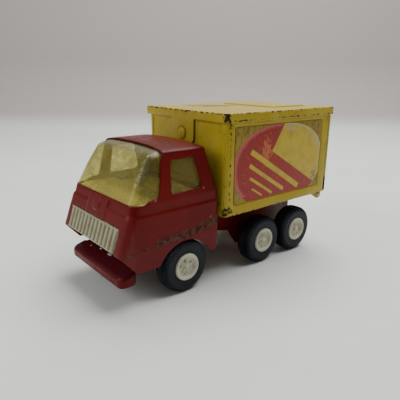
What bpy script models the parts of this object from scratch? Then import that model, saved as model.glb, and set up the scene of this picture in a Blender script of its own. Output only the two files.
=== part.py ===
"""Pressed-steel toy box truck with a cab-over cab and two rear axles.

The front of the truck faces -Y, its left side is +X, and it stands on Z = 0 with the middle
of its length and width at the origin. Distances along the truck are given from the front
axle, and along() moves them into that frame. Units are metres.
"""

import math

import bmesh
import bpy
from mathutils import Matrix

# Wheels and axles
TYRE_RADIUS = 0.0220
TYRE_INNER_X = 0.0352
TYRE_OUTER_X = 0.0506
RIM_RADIUS = 0.01126
HUB_FACE_X = 0.0517
AXLE_RADIUS = 0.0016
AXLE_HALF_LENGTH = 0.0460
AXLES_FROM_FRONT = {"front": 0.0, "rear_1": 0.0905, "rear_2": 0.1385}

# Front axle to the middle of the overall length
FRONT_AXLE_TO_MIDDLE = 0.0587

# Sheet and moulding thicknesses, and the gap that touching pieces keep
SHEET = 0.0009
PLASTIC = 0.0012
GAP = 0.0003

# Bumper and chassis
BUMPER_FRONT = -0.0560
BUMPER_DEPTH = 0.0150
BUMPER_HALF_WIDTH = 0.0430
BUMPER_BOTTOM = 0.0156
BUMPER_TOP = 0.0266
TONGUE_HALF_WIDTH = 0.0380
CHASSIS_HALF_WIDTH = 0.0262
CHASSIS_TOP = 0.0596
CHASSIS_REAR = 0.1540

# Cab
CAB_BOTTOM = 0.0288
CAB_HALF_WIDTH = 0.0494
CAB_REAR = 0.0336
BELT_Z = 0.0722
BELT_STEP = 0.0006
SILL_Z = 0.0796
ROOF_Z = 0.1136
ROOF_HALF_WIDTH = 0.0434
ROOF_FRONT = -0.0168
ROOF_REAR = 0.0248
FRONT_AT_SILL = -0.0469
FRONT_SLOPE = 0.34
GLASS_TOP_FRONT = -0.0262
GRILLE_HALF_WIDTH = 0.0385
GRILLE_BOTTOM = 0.0455
GRILLE_TOP = 0.0623
GRILLE_RIBS = 13
ARCH_RADIUS = 0.0276
ARCH_Z = 0.0169

# Cargo box
BOX_FRONT = 0.0364
BOX_WALLS_REAR = 0.1715
BOX_REAR = 0.1750
BOX_HALF_WIDTH = 0.0542
BOX_BOTTOM = 0.0561
BOX_WALL = 0.0013
BOX_WALL_TOP = 0.1375
FLOOR_Z = 0.0600
RECESS = 0.0008
BOX_CORNER = 0.0040
ROOF_LIP_X = 0.0565
ROOF_LIP_FRONT = 0.0340
ROOF_LIP_REAR = 0.1772
ROOF_TOP = 0.1406
ROOF_LIP_Z = 0.1333
DOOR_TOP = 0.1329
HINGE_Y = 0.1683
HINGE_Z = 0.0536
PIN_RADIUS = 0.0010
TAB_HALF_WIDTH = 0.0151
TAB_BOTTOM = 0.1120
TAB_RIVET_Z = 0.1208

TRUCK = "toy_box_truck"
CUTTERS = "cutters"
ARC_STEPS = 4


def along(distance):
    """The Y coordinate of a distance behind the front axle."""
    return distance - FRONT_AXLE_TO_MIDDLE


def clear_scene():
    for obj in list(bpy.data.objects):
        bpy.data.objects.remove(obj)


def collection(name):
    made = bpy.data.collections.new(name)
    bpy.context.scene.collection.children.link(made)
    return made


def paint(name, colour, roughness, metallic=0.0, alpha=1.0):
    material = bpy.data.materials.new(name)
    material.use_nodes = True
    shader = material.node_tree.nodes["Principled BSDF"]
    shader.inputs["Base Color"].default_value = (*colour, 1.0)
    shader.inputs["Roughness"].default_value = roughness
    shader.inputs["Metallic"].default_value = metallic
    shader.inputs["Alpha"].default_value = alpha
    return material


def add_object(name, mesh, into, material=None):
    obj = bpy.data.objects.new(name, mesh)
    bpy.data.collections[into].objects.link(obj)
    if into == CUTTERS:
        obj.hide_render = True
        obj.display_type = "WIRE"
    if material:
        mesh.materials.append(material)
    return obj


def smooth(obj, degrees=35):
    obj.data.shade_smooth()
    obj.data.set_sharp_from_angle(angle=math.radians(degrees))


def rounded(points, radius, steps=ARC_STEPS):
    """The closed outline with each corner replaced by an arc; radius is one value or one per corner."""
    radii = radius if isinstance(radius, (list, tuple)) else [radius] * len(points)
    outline = []
    for index, corner in enumerate(points):
        before = points[index - 1]
        after = points[(index + 1) % len(points)]
        if radii[index] <= 0:
            outline.append(corner)
            continue
        to_before = (before[0] - corner[0], before[1] - corner[1])
        to_after = (after[0] - corner[0], after[1] - corner[1])
        long_before = math.hypot(*to_before)
        long_after = math.hypot(*to_after)
        u = (to_before[0] / long_before, to_before[1] / long_before)
        v = (to_after[0] / long_after, to_after[1] / long_after)
        half = math.acos(max(-1.0, min(1.0, u[0] * v[0] + u[1] * v[1]))) / 2
        reach = radii[index] / math.tan(half)
        middle = (u[0] + v[0], u[1] + v[1])
        size = math.hypot(*middle)
        away = radii[index] / math.sin(half)
        centre = (corner[0] + middle[0] / size * away, corner[1] + middle[1] / size * away)
        start = (corner[0] + u[0] * reach - centre[0], corner[1] + u[1] * reach - centre[1])
        end = (corner[0] + v[0] * reach - centre[0], corner[1] + v[1] * reach - centre[1])
        first = math.atan2(start[1], start[0])
        turn = math.atan2(end[1], end[0]) - first
        turn = (turn + math.pi) % (2 * math.pi) - math.pi
        for step in range(steps + 1):
            angle = first + turn * step / steps
            x = centre[0] + radii[index] * math.cos(angle)
            y = centre[1] + radii[index] * math.sin(angle)
            outline.append((x, y))
    return outline


def box_outline(low_a, high_a, low_b, high_b):
    return [(low_a, low_b), (high_a, low_b), (high_a, high_b), (low_a, high_b)]


PLANES = {
    "Z": Matrix.Identity(4),
    "X": Matrix(((0, 0, 1, 0), (1, 0, 0, 0), (0, 1, 0, 0), (0, 0, 0, 1))),
    "Y": Matrix(((1, 0, 0, 0), (0, 0, -1, 0), (0, 1, 0, 0), (0, 0, 0, 1))),
}


def plate(name, outline, axis, low, high, into=CUTTERS, material=None):
    """A flat outline made solid from low to high along an axis. The outline's two values are
    (y, z) for X, (x, z) for Y and (x, y) for Z."""
    curve = bpy.data.curves.new(name + "_outline", "CURVE")
    curve.dimensions = "2D"
    curve.fill_mode = "BOTH"
    curve.extrude = (high - low) / 2
    spline = curve.splines.new("POLY")
    spline.points.add(len(outline) - 1)
    for point, (a, b) in zip(spline.points, outline):
        point.co = (a, b, 0, 1)
    spline.use_cyclic_u = True
    guide = bpy.data.objects.new(name + "_outline", curve)
    bpy.context.scene.collection.objects.link(guide)
    bpy.context.view_layer.update()
    evaluated = guide.evaluated_get(bpy.context.evaluated_depsgraph_get())
    mesh = bpy.data.meshes.new_from_object(evaluated)
    mesh.name = name
    bpy.data.objects.remove(guide)
    middle = (low + high) / 2
    shift = Matrix.Translation((0, 0, -middle if axis == "Y" else middle))
    mesh.transform(PLANES[axis] @ shift)
    weld(mesh)
    mesh.materials.clear()
    return add_object(name, mesh, into, material)


def weld(mesh):
    edit = bmesh.new()
    edit.from_mesh(mesh)
    bmesh.ops.remove_doubles(edit, verts=edit.verts, dist=1e-6)
    bmesh.ops.recalc_face_normals(edit, faces=edit.faces)
    edit.to_mesh(mesh)
    edit.free()


def boolean(target, other, operation="DIFFERENCE"):
    modifier = target.modifiers.new(other.name, "BOOLEAN")
    modifier.operation = operation
    modifier.solver = "EXACT"
    modifier.object = other


def bevel(obj, width, degrees=40, segments=2):
    modifier = obj.modifiers.new("edges", "BEVEL")
    modifier.width = width
    modifier.segments = segments
    modifier.limit_method = "ANGLE"
    modifier.angle_limit = math.radians(degrees)
    return modifier


def cylinder(name, radius, x, y, z, half_length, axis="X", into=CUTTERS, sides=24):
    edit = bmesh.new()
    bmesh.ops.create_cone(
        edit,
        cap_ends=True,
        segments=sides,
        radius1=radius,
        radius2=radius,
        depth=2 * half_length,
    )
    turn = {"X": Matrix.Rotation(math.pi / 2, 4, "Y"), "Z": Matrix.Identity(4)}
    turn["Y"] = Matrix.Rotation(math.pi / 2, 4, "X")
    bmesh.ops.transform(edit, matrix=turn[axis], verts=edit.verts)
    mesh = bpy.data.meshes.new(name)
    edit.to_mesh(mesh)
    edit.free()
    obj = add_object(name, mesh, into)
    obj.location = (x, y, z)
    return obj


def turned(name, profile, steps, material, closed=False):
    """A profile of (radius, height) points, outer side top to bottom, turned about Z."""
    edit = bmesh.new()
    verts = [edit.verts.new((radius, 0, height)) for radius, height in profile]
    for first, second in zip(verts, verts[1:]):
        edit.edges.new((first, second))
    if closed:
        edit.edges.new((verts[-1], verts[0]))
    mesh = bpy.data.meshes.new(name)
    edit.to_mesh(mesh)
    edit.free()
    obj = add_object(name, mesh, TRUCK, material)
    screw = obj.modifiers.new("turn", "SCREW")
    screw.steps = steps
    screw.render_steps = steps
    screw.use_merge_vertices = True
    screw.merge_threshold = 0.00001
    screw.use_smooth_shade = True
    return obj


def ring(half_width, front, rear, z, front_radius, rear_radius):
    """One level of a lofted shell: a rounded rectangle seen from above, as 3D points."""
    corners = [(half_width, front), (half_width, rear), (-half_width, rear), (-half_width, front)]
    radii = [front_radius, rear_radius, rear_radius, front_radius]
    return [(x, along(y), z) for x, y in rounded(corners, radii)]


def loft(name, rings, into, material=None):
    """A closed solid through rings of equal point counts, lowest ring first."""
    edit = bmesh.new()
    levels = [[edit.verts.new(point) for point in level] for level in rings]
    count = len(levels[0])
    for lower, upper in zip(levels, levels[1:]):
        for index in range(count):
            after = (index + 1) % count
            edit.faces.new((lower[index], lower[after], upper[after], upper[index]))
    edit.faces.new(levels[0])
    edit.faces.new(levels[-1])
    bmesh.ops.recalc_face_normals(edit, faces=edit.faces)
    mesh = bpy.data.meshes.new(name)
    edit.to_mesh(mesh)
    edit.free()
    return add_object(name, mesh, into, material)


# Wheels


def tyre_profile():
    """(radius, x) from the tyre's middle plane, as a closed loop, outer side top to bottom."""
    half = (TYRE_OUTER_X - TYRE_INNER_X) / 2
    bore = RIM_RADIUS - 0.0011 + GAP
    recess = RIM_RADIUS + GAP
    shoulder = 0.0045
    points = [(recess, half)]
    for step in range(4):
        angle = math.pi / 2 * (1 - step / 3)
        radius = TYRE_RADIUS - shoulder * (1 - math.cos(angle))
        points.append((radius, half - shoulder + shoulder * math.sin(angle)))
    mirrored = [(radius, -x) for radius, x in reversed(points[1:])]
    points += mirrored
    points += [(bore, -half), (bore, half - 0.0034), (recess, half - 0.0034)]
    return points


def hub_profile():
    """(radius, x) from the tyre's middle plane, outer side top to bottom, with a blind bore."""
    middle = (TYRE_OUTER_X + TYRE_INNER_X) / 2
    face = HUB_FACE_X - middle
    back = TYRE_INNER_X - middle
    barrel = RIM_RADIUS - 0.0011
    bore = AXLE_RADIUS + GAP
    bore_end = AXLE_HALF_LENGTH + GAP - middle
    return [
        (0.0, face - 0.0012),
        (0.0022, face - 0.0013),
        (0.0028, face - 0.0022),
        (0.0078, face - 0.0026),
        (0.0089, face - 0.0009),
        (0.0096, face - 0.0001),
        (0.0106, face),
        (RIM_RADIUS, face - 0.0007),
        (RIM_RADIUS, face - 0.0040),
        (barrel, face - 0.0046),
        (barrel, back),
        (bore, back),
        (bore, bore_end),
        (0.0, bore_end),
    ]


def wheel(name, side, distance, tyre_paint, hub_paint):
    """A tyre and its hub, outer face towards side (+1 left, -1 right)."""
    made = []
    middle = (TYRE_OUTER_X + TYRE_INNER_X) / 2
    parts = [("tyre", tyre_profile(), 24, tyre_paint, True)]
    parts.append(("hub", hub_profile(), 16, hub_paint, False))
    for kind, profile, steps, material, closed in parts:
        obj = turned(kind + "_" + name, profile, steps, material, closed)
        obj.location = (side * middle, along(distance), TYRE_RADIUS)
        obj.rotation_euler = (0, side * math.pi / 2, 0)
        made.append(obj)
    return made


def wheels_and_axles():
    rubber = paint("tyre_rubber", (0.012, 0.015, 0.021), 0.55)
    cream = paint("hub_plastic", (0.62, 0.60, 0.47), 0.45)
    steel = paint("axle_steel", (0.55, 0.54, 0.52), 0.35, metallic=1.0)
    for name, distance in AXLES_FROM_FRONT.items():
        axle = cylinder(
            "axle_" + name,
            AXLE_RADIUS,
            0,
            along(distance),
            TYRE_RADIUS,
            AXLE_HALF_LENGTH,
            into=TRUCK,
            sides=16,
        )
        axle.data.materials.append(steel)
        for side_name, side in (("left", 1), ("right", -1)):
            wheel(name + "_" + side_name, side, distance, rubber, cream)


# Chassis and bumper


def chassis_outline(inset, floor):
    """The channel's side view: a raised deck, a front ramp, and deep plates at the axles."""
    deck = CHASSIS_TOP - inset
    return [
        (-0.0400 + inset, 0.0262 if floor is None else floor),
        (-0.0375 + inset, 0.0440 - inset),
        (-0.0140 + inset, 0.0440 - inset),
        (-0.0100 + inset, deck),
        (CHASSIS_REAR + (0.01 if inset else 0.0), deck),
        *(
            [(CHASSIS_REAR, 0.0380), (0.1500, 0.0150), (0.0775, 0.0150), (0.0670, 0.0303)]
            + [(0.0548, 0.0328), (0.0120, 0.0328), (0.0080, 0.0160), (-0.0080, 0.0160)]
            + [(-0.0200, 0.0262)]
            if floor is None
            else [(CHASSIS_REAR + 0.01, floor)]
        ),
    ]


def shifted(outline):
    """An outline of (distance, z) moved into the part's frame."""
    return [(along(distance), z) for distance, z in outline]


def bumper_outline(inset):
    front = BUMPER_FRONT + inset
    back = BUMPER_FRONT + BUMPER_DEPTH - inset
    half = BUMPER_HALF_WIDTH - inset
    corners = [(half, front), (half, back), (-half, back), (-half, front)]
    moved = [(x, along(y)) for x, y in corners]
    radii = [0.0062 - inset, 0.0048 - inset, 0.0048 - inset, 0.0062 - inset]
    return rounded(moved, radii)


def chassis():
    red = paint("chassis_paint", (0.16, 0.006, 0.010), 0.35)
    outline = shifted(chassis_outline(0, None))
    frame = plate(
        "chassis_frame", outline, "X", -CHASSIS_HALF_WIDTH, CHASSIS_HALF_WIDTH, TRUCK, red
    )
    inside = CHASSIS_HALF_WIDTH - SHEET
    hollow = plate("chassis_hollow", shifted(chassis_outline(SHEET, 0.005)), "X", -inside, inside)
    boolean(frame, hollow)
    bumper = plate("bumper_block", bumper_outline(0), "Z", BUMPER_BOTTOM, BUMPER_TOP)
    bevel(bumper, 0.0011, segments=1)
    under = plate(
        "bumper_hollow", bumper_outline(SHEET), "Z", BUMPER_BOTTOM - 0.002, BUMPER_TOP - SHEET
    )
    boolean(bumper, under)
    tongue_back = -0.0388
    corners = box_outline(
        -TONGUE_HALF_WIDTH,
        TONGUE_HALF_WIDTH,
        along(BUMPER_FRONT + 0.006),
        along(tongue_back + 0.008),
    )
    tongue = plate("tongue", rounded(corners, 0.003), "Z", BUMPER_TOP - SHEET, BUMPER_TOP)
    boolean(bumper, tongue, "UNION")
    boolean(frame, bumper, "UNION")
    for name, distance in AXLES_FROM_FRONT.items():
        hole = cylinder(
            "axle_hole_" + name, AXLE_RADIUS + GAP, 0, along(distance), TYRE_RADIUS, 0.04
        )
        boolean(frame, hole)
    for x, distance in rivet_places():
        hole = cylinder(
            "deck_hole", 0.0016, x, along(distance), CHASSIS_TOP, 0.004, "Z", sides=16
        )
        boolean(frame, hole)
    return frame


def rivet_places():
    """Where the deck is riveted: two through the cab's flange and four through the box floor."""
    return cab_rivet_places() + box_rivet_places()


def cab_rivet_places():
    return [(-0.016, 0.0235), (0.016, 0.0235)]


def box_rivet_places():
    return [(x, distance) for distance in (0.052, 0.138) for x in (-0.016, 0.016)]


def deck_rivets(name, places, top, bottom, material):
    """A round-headed rivet at each place, through a stack of sheets from bottom to top."""
    head, shank, tail = 0.0026, 0.0013, 0.0023
    profile = [(0.0, top + 0.0013), (head * 0.7, top + 0.0010), (head, top + 0.0001)]
    profile += [(shank, top + 0.0001), (shank, bottom - 0.0001), (tail, bottom - 0.0001)]
    profile += [(tail * 0.8, bottom - 0.0009), (0.0, bottom - 0.0010)]
    for number, (x, distance) in enumerate(places, 1):
        rivet = turned(f"{name}_{number}", profile, 8, material)
        rivet.location = (x, along(distance), 0)


# Cab


def front_at(z):
    """Distance of the cab's front face behind the front axle, below the sill."""
    return FRONT_AT_SILL - FRONT_SLOPE * (SILL_Z - z)


def cab_levels(inset):
    """(half width, front, rear, z, front radius, rear radius) at each level of the cab."""
    rise = (ROOF_Z - SILL_Z, CAB_REAR - 0.0005 - ROOF_REAR)
    levels = []
    for z, half, step, front_radius in (
        (CAB_BOTTOM, CAB_HALF_WIDTH, 0, 0.0055),
        (0.0460, CAB_HALF_WIDTH + 0.0006, 0, 0.0055),
        (BELT_Z - 0.0008, CAB_HALF_WIDTH, 0, 0.0070),
        (BELT_Z, CAB_HALF_WIDTH - BELT_STEP, BELT_STEP, 0.0072),
        (SILL_Z, CAB_HALF_WIDTH - 0.0010, BELT_STEP, 0.0075),
    ):
        levels.append((half, front_at(z) + step, CAB_REAR, z, front_radius, 0.0032))
    front_low = FRONT_AT_SILL + BELT_STEP
    for share in (0.35, 0.70, 0.90):
        z = SILL_Z + share * rise[0]
        half = CAB_HALF_WIDTH - 0.0010 - share * (CAB_HALF_WIDTH - 0.0010 - ROOF_HALF_WIDTH)
        front = front_low + share * (GLASS_TOP_FRONT - front_low)
        rear = CAB_REAR - 0.0005 - share * rise[1]
        levels.append((half, front, rear, z, 0.0075, 0.0036))
    crown = ((0.0, 0.0, 0.0), (0.0014, 0.0009, 0.0008), (0.0021, 0.0040, 0.003))
    crown += ((0.0032, 0.0160, 0.009), (0.0037, 0.0300, 0.015))
    for lift, shrink, shorten in crown:
        half = ROOF_HALF_WIDTH - shrink
        front = GLASS_TOP_FRONT + 0.0016 + shorten
        rear = ROOF_REAR - shorten
        levels.append((half, front, rear, ROOF_Z + lift, 0.006, 0.0036))
    made = []
    for half, front, rear, z, front_radius, rear_radius in levels:
        top = z - inset if z > ROOF_Z - 0.004 else z
        radii = (front_radius - inset * 0.7, rear_radius - inset * 0.7)
        made.append((half - inset, front + inset, rear - inset, top, *radii))
    return made


def windscreen_cut():
    """Side view of the space in front of the windscreen pillars and the roof edge."""
    corners = [
        (-0.0800, SILL_Z),
        (-0.0370, SILL_Z),
        (-0.0315, SILL_Z + 0.0024),
        (-0.0236, SILL_Z + 0.0038),
        (ROOF_FRONT - 0.0016, ROOF_Z - 0.0020),
        (ROOF_FRONT, ROOF_Z + 0.0010),
        (ROOF_FRONT, 0.1300),
        (-0.0800, 0.1300),
    ]
    radii = [0, 0.003, 0.003, 0.0022, 0, 0, 0, 0]
    return rounded(shifted(corners), radii)


def side_window_outline():
    corners = [(-0.0122, 0.0834), (0.0174, 0.0846), (0.0112, 0.1086), (-0.0102, 0.1082)]
    return rounded(shifted(corners), [0.0012, 0.0035, 0.0025, 0.0018])


def on_front_face(obj, offset=0.0):
    """Leans a piece that was built upright at y = 0, z = 0 back onto the cab's sloping front."""
    lean = math.atan(FRONT_SLOPE)
    turn = Matrix.Rotation(-lean, 4, "X")
    place = Matrix.Translation((0, along(FRONT_AT_SILL) - offset, SILL_Z))
    obj.data.transform(place @ turn)
    return obj


def down_the_front(z):
    """Distance along the sloping front face from the sill down to height z, as a negative."""
    return -(SILL_Z - z) / math.cos(math.atan(FRONT_SLOPE))


def cab():
    red = paint("cab_paint", (0.27, 0.008, 0.006), 0.32)
    shell = loft("cab_shell", [ring(*level) for level in cab_levels(0)], TRUCK, red)
    for pad in cab_front_pads():
        boolean(shell, pad, "UNION")
    inner = cab_levels(SHEET)
    low = inner[0]
    inner[0] = (low[0], low[1], low[2], CAB_BOTTOM - 0.004, low[4], low[5])
    boolean(shell, loft("cab_hollow", [ring(*level) for level in inner], CUTTERS))
    flange = plate(
        "cab_flange",
        box_outline(-0.0250, 0.0250, along(0.0160), along(CAB_REAR - 0.0006)),
        "Z",
        CHASSIS_TOP + GAP,
        CHASSIS_TOP + GAP + SHEET,
    )
    boolean(shell, flange, "UNION")
    boolean(shell, plate("windscreen_cut", windscreen_cut(), "X", -0.07, 0.07))
    boolean(shell, plate("side_window_cut", side_window_outline(), "X", -0.07, 0.07))
    rear = rounded(box_outline(-0.0330, 0.0330, 0.0860, 0.1065), 0.004)
    boolean(shell, plate("rear_window_cut", rear, "Y", along(0.016), along(0.045)))
    arch = cylinder("wheel_arch_cut", ARCH_RADIUS, 0, along(0), ARCH_Z, 0.07, sides=40)
    boolean(shell, arch)
    chin = [(-0.0800, 0.0200), (-0.0447, 0.0200), (-0.0447, CAB_BOTTOM - 0.0001)]
    chin += [(front_at(0.0446) - 0.0001, 0.0446), (-0.0800, 0.0446)]
    boolean(shell, plate("chin_cut", shifted(chin), "X", -0.07, 0.07))
    hole_half = GRILLE_HALF_WIDTH + 0.0005
    hole = box_outline(
        -hole_half, hole_half, down_the_front(0.0400), down_the_front(GRILLE_TOP) + 0.0005
    )
    boolean(shell, on_front_face(plate("grille_hole", hole, "Y", -0.004, 0.006)))
    notch_half = CHASSIS_HALF_WIDTH + 0.0006
    notch = box_outline(-notch_half, notch_half, 0.0200, CHASSIS_TOP + GAP)
    boolean(shell, plate("chassis_notch", notch, "Y", along(0.018), along(0.040)))
    for x, distance in cab_rivet_places():
        hole = cylinder(
            "flange_hole", 0.0016, x, along(distance), CHASSIS_TOP, 0.004, "Z", sides=16
        )
        boolean(shell, hole)
    smooth(shell)
    return shell


def cab_front_pads():
    """The raised middle panel under the windscreen and the plain round boss on it."""
    low, high = down_the_front(GRILLE_TOP + 0.0012), -0.0006
    panel = rounded([(-0.0148, low), (0.0148, low), (0.0158, high), (-0.0158, high)], 0.001)
    pad = on_front_face(plate("front_panel_pad", panel, "Y", -0.0006, 0.0008))
    bevel(pad, 0.0004, segments=1)
    middle = down_the_front(0.0727)
    disc = [
        (0.0056 * math.cos(angle), middle + 0.0056 * math.sin(angle))
        for angle in [2 * math.pi * step / 28 for step in range(28)]
    ]
    boss = on_front_face(plate("front_boss", disc, "Y", -0.0014, 0.0008))
    bevel(boss, 0.0004, segments=1)
    return [pad, boss]


def window_insert():
    """One clear moulding: the wrapped windscreen stands in the cab's opening, and its side and
    rear panes lie inside the cab walls. Its rim rests just above the dash shelf."""
    clear = paint("window_plastic", (0.80, 0.74, 0.46), 0.15, alpha=0.4)
    inside = SHEET + 0.0007
    outer = insert_levels(inside, 0.0)
    shell = loft("window_insert", [ring(*level) for level in outer], TRUCK, clear)
    hollow = insert_levels(inside + PLASTIC, PLASTIC)
    low = hollow[0]
    hollow[0] = (low[0], low[1], low[2], low[3] - 0.003, low[4], low[5])
    boolean(shell, loft("insert_hollow", [ring(*level) for level in hollow], CUTTERS))
    smooth(shell)
    return shell


def insert_levels(inside, front_inset):
    rise = ROOF_Z - SILL_Z
    levels = []
    front_low = FRONT_AT_SILL + BELT_STEP
    shares = [0.015, 0.10, 0.30, 0.55, 0.80, 0.90]
    for share in shares:
        half = CAB_HALF_WIDTH - 0.0010 - share * (CAB_HALF_WIDTH - 0.0010 - ROOF_HALF_WIDTH)
        front = front_low + share * (GLASS_TOP_FRONT - front_low)
        front -= 0.0012 * math.sin(math.pi * share)
        rear = CAB_REAR - 0.0005 - share * (CAB_REAR - 0.0005 - ROOF_REAR)
        z = SILL_Z + share * rise
        radii = (0.0070 - front_inset, 0.0035)
        levels.append((half - inside, front + front_inset, rear - inside, z, *radii))
    half, front, rear, z = levels[-1][:4]
    for lift, shrink, back in ((0.0016, 0.0012, 0.0022), (0.0023, 0.0032, 0.0046)):
        top = z + lift - front_inset * 0.6
        levels.append((half - shrink, front + back, rear - shrink, top, 0.006, 0.003))
    return levels


def cab_interior():
    """The moulded inside of the cab: dash shelf, footwell and bench, standing on the deck."""
    cream = paint("interior_plastic", (0.60, 0.56, 0.34), 0.5)
    top = SILL_Z - 0.0004
    bench = 0.0750
    well = CHASSIS_TOP + GAP + PLASTIC
    upper = [(-0.0440, top), (-0.0100, top), (-0.0092, well), (-0.0015, well)]
    upper += [(-0.0008, bench), (0.0312, bench)]
    lower = [(0.0312, bench - PLASTIC), (0.0004, bench - PLASTIC), (-0.0003, well - PLASTIC)]
    lower += [(-0.0104, well - PLASTIC), (-0.0112, top - PLASTIC), (-0.0440, top - PLASTIC)]
    tray = plate(
        "cab_interior", shifted(upper + lower), "X", -0.0462, 0.0462, TRUCK, cream
    )
    corner_cut = [
        ("left", [(0.0385, -0.0460), (0.0480, -0.0460), (0.0480, -0.0360)]),
        ("right", [(-0.0385, -0.0460), (-0.0480, -0.0360), (-0.0480, -0.0460)]),
    ]
    for side, corner in corner_cut:
        outline = [(x, along(y)) for x, y in corner]
        boolean(tray, plate("tray_corner_" + side, outline, "Z", 0.070, 0.090))
    return tray


def grille():
    """A moulded grille: a backing plate with tapered vertical ribs between two thin bars."""
    cream = paint("grille_plastic", (0.58, 0.55, 0.40), 0.5)
    low = down_the_front(GRILLE_BOTTOM)
    high = down_the_front(GRILLE_TOP)
    pitch = 2 * GRILLE_HALF_WIDTH / GRILLE_RIBS
    crest, root, back = -0.0012, 0.0006, 0.0020
    comb = [(-GRILLE_HALF_WIDTH, back), (-GRILLE_HALF_WIDTH, root)]
    for index in range(GRILLE_RIBS):
        middle = -GRILLE_HALF_WIDTH + (index + 0.5) * pitch
        for across, depth in ((-0.36, root), (-0.22, crest), (0.22, crest), (0.36, root)):
            comb.append((middle + across * pitch, depth))
    comb += [(GRILLE_HALF_WIDTH, root), (GRILLE_HALF_WIDTH, back)]
    piece = plate("front_grille", comb, "Z", low, high, TRUCK, cream)
    on_front_face(piece)
    proud = 0.0002
    half = GRILLE_HALF_WIDTH + proud
    spans = (("top", high - 0.0010, high + proud), ("bottom", low - proud, low + 0.0008))
    for name, bottom, top in spans:
        bar = box_outline(-half, half, bottom, top)
        solid = on_front_face(plate("grille_bar_" + name, bar, "Y", -0.0006, 0.0017))
        boolean(piece, solid, "UNION")
    return piece


# Cargo box


def box_plan(inset, rear):
    """The box walls seen from above, with rounded front corners."""
    half = BOX_HALF_WIDTH - inset
    front = BOX_FRONT + inset
    corners = [(half, front), (half, rear), (-half, rear), (-half, front)]
    moved = [(x, along(y)) for x, y in corners]
    radius = max(BOX_CORNER - inset, 0.001)
    return rounded(moved, [radius, 0, 0, radius])


def side_recess_outline():
    return rounded(
        box_outline(along(0.0454), along(0.1622), 0.0645, 0.1298), 0.0015, steps=2
    )


def cargo_box(yellow):
    body = plate(
        "box_body", box_plan(0, BOX_WALLS_REAR), "Z", BOX_BOTTOM, BOX_WALL_TOP, TRUCK, yellow
    )
    open_rear = BOX_WALLS_REAR + 0.01
    inner = box_plan(BOX_WALL, open_rear)
    boolean(body, plate("box_inside", inner, "Z", FLOOR_Z + SHEET, 0.160))
    boolean(body, plate("box_underside", inner, "Z", 0.050, FLOOR_Z))
    notch_half = CHASSIS_HALF_WIDTH + 0.0006
    notch = box_outline(-notch_half, notch_half, 0.0500, FLOOR_Z)
    boolean(body, plate("deck_notch", notch, "Y", along(0.030), along(0.045)))
    for side in (-1, 1):
        low, high = sorted((side * (BOX_HALF_WIDTH - RECESS), side * 0.060))
        recess = plate("side_recess", side_recess_outline(), "X", low, high)
        boolean(body, recess)
        low, high = sorted((side * 0.0182, side * 0.0480))
        panel = rounded(box_outline(low, high, 0.0660, 0.1318), 0.0015, steps=2)
        front = plate(
            "front_recess", panel, "Y", along(BOX_FRONT) - 0.004, along(BOX_FRONT) + RECESS
        )
        boolean(body, front)
        boolean(body, hinge_ear("box_ear", side, 0.0506, 0.0518, FLOOR_Z + 0.0006), "UNION")
        hole = cylinder(
            "ear_hole", PIN_RADIUS + GAP, side * 0.051, along(HINGE_Y), HINGE_Z, 0.0015
        )
        boolean(body, hole)
    for x, distance in box_rivet_places():
        hole = cylinder("floor_hole", 0.0016, x, along(distance), FLOOR_Z, 0.004, "Z", sides=16)
        boolean(body, hole)
    hole = cylinder(
        "tab_rivet_hole", 0.0019, 0, along(BOX_FRONT), TAB_RIVET_Z, 0.004, "Y", sides=16
    )
    boolean(body, hole)
    return body


def hinge_ear(name, side, inner_x, outer_x, top):
    """A lug under the box's side, ramped in front and round below the pin."""
    radius = 0.0045
    outline = [(HINGE_Y + 0.0030, top), (0.1560, top), (0.1560, BOX_BOTTOM - 0.0006)]
    for step in range(9):
        angle = math.radians(-130 + 150 * step / 8)
        y = HINGE_Y + radius * math.cos(angle)
        outline.append((y, HINGE_Z + radius * math.sin(angle)))
    low, high = sorted((side * inner_x, side * outer_x))
    return plate(name, shifted(outline), "X", low, high)


def roof_plan(inset):
    front = ROOF_LIP_FRONT + inset
    rear = ROOF_LIP_REAR - inset
    half = ROOF_LIP_X - inset
    corners = [(half, front), (half, rear), (-half, rear), (-half, front)]
    return rounded([(x, along(y)) for x, y in corners], 0.0034 - inset, steps=4)


def box_roof(yellow):
    lip = 0.0011
    roof = plate("box_roof", roof_plan(0), "Z", ROOF_LIP_Z, ROOF_TOP, TRUCK, yellow)
    edges = bevel(roof, 0.0011)
    edges.name = "rolled edges"
    raised = rounded(box_outline(-0.0345, 0.0345, along(0.113), along(0.160)), 0.004)
    panel = plate("roof_panel", raised, "Z", ROOF_TOP - 0.0006, ROOF_TOP + 0.0012)
    bevel(panel, 0.0005, segments=1)
    boolean(roof, panel, "UNION")
    boolean(roof, plate("roof_hollow", roof_plan(lip), "Z", 0.120, ROOF_TOP - SHEET))
    tab = [(TAB_HALF_WIDTH, TAB_BOTTOM), (TAB_HALF_WIDTH, ROOF_LIP_Z + 0.003)]
    tab += [(-TAB_HALF_WIDTH, ROOF_LIP_Z + 0.003), (-TAB_HALF_WIDTH, TAB_BOTTOM)]
    front = along(ROOF_LIP_FRONT)
    hanging = plate(
        "roof_tab", rounded(tab, [0.006, 0, 0, 0.006]), "Y", front + 0.00005, front + lip
    )
    boolean(roof, hanging, "UNION")
    hole = cylinder("tab_hole", 0.0019, 0, front, TAB_RIVET_Z, 0.004, "Y", sides=16)
    boolean(roof, hole)
    return roof


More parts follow.
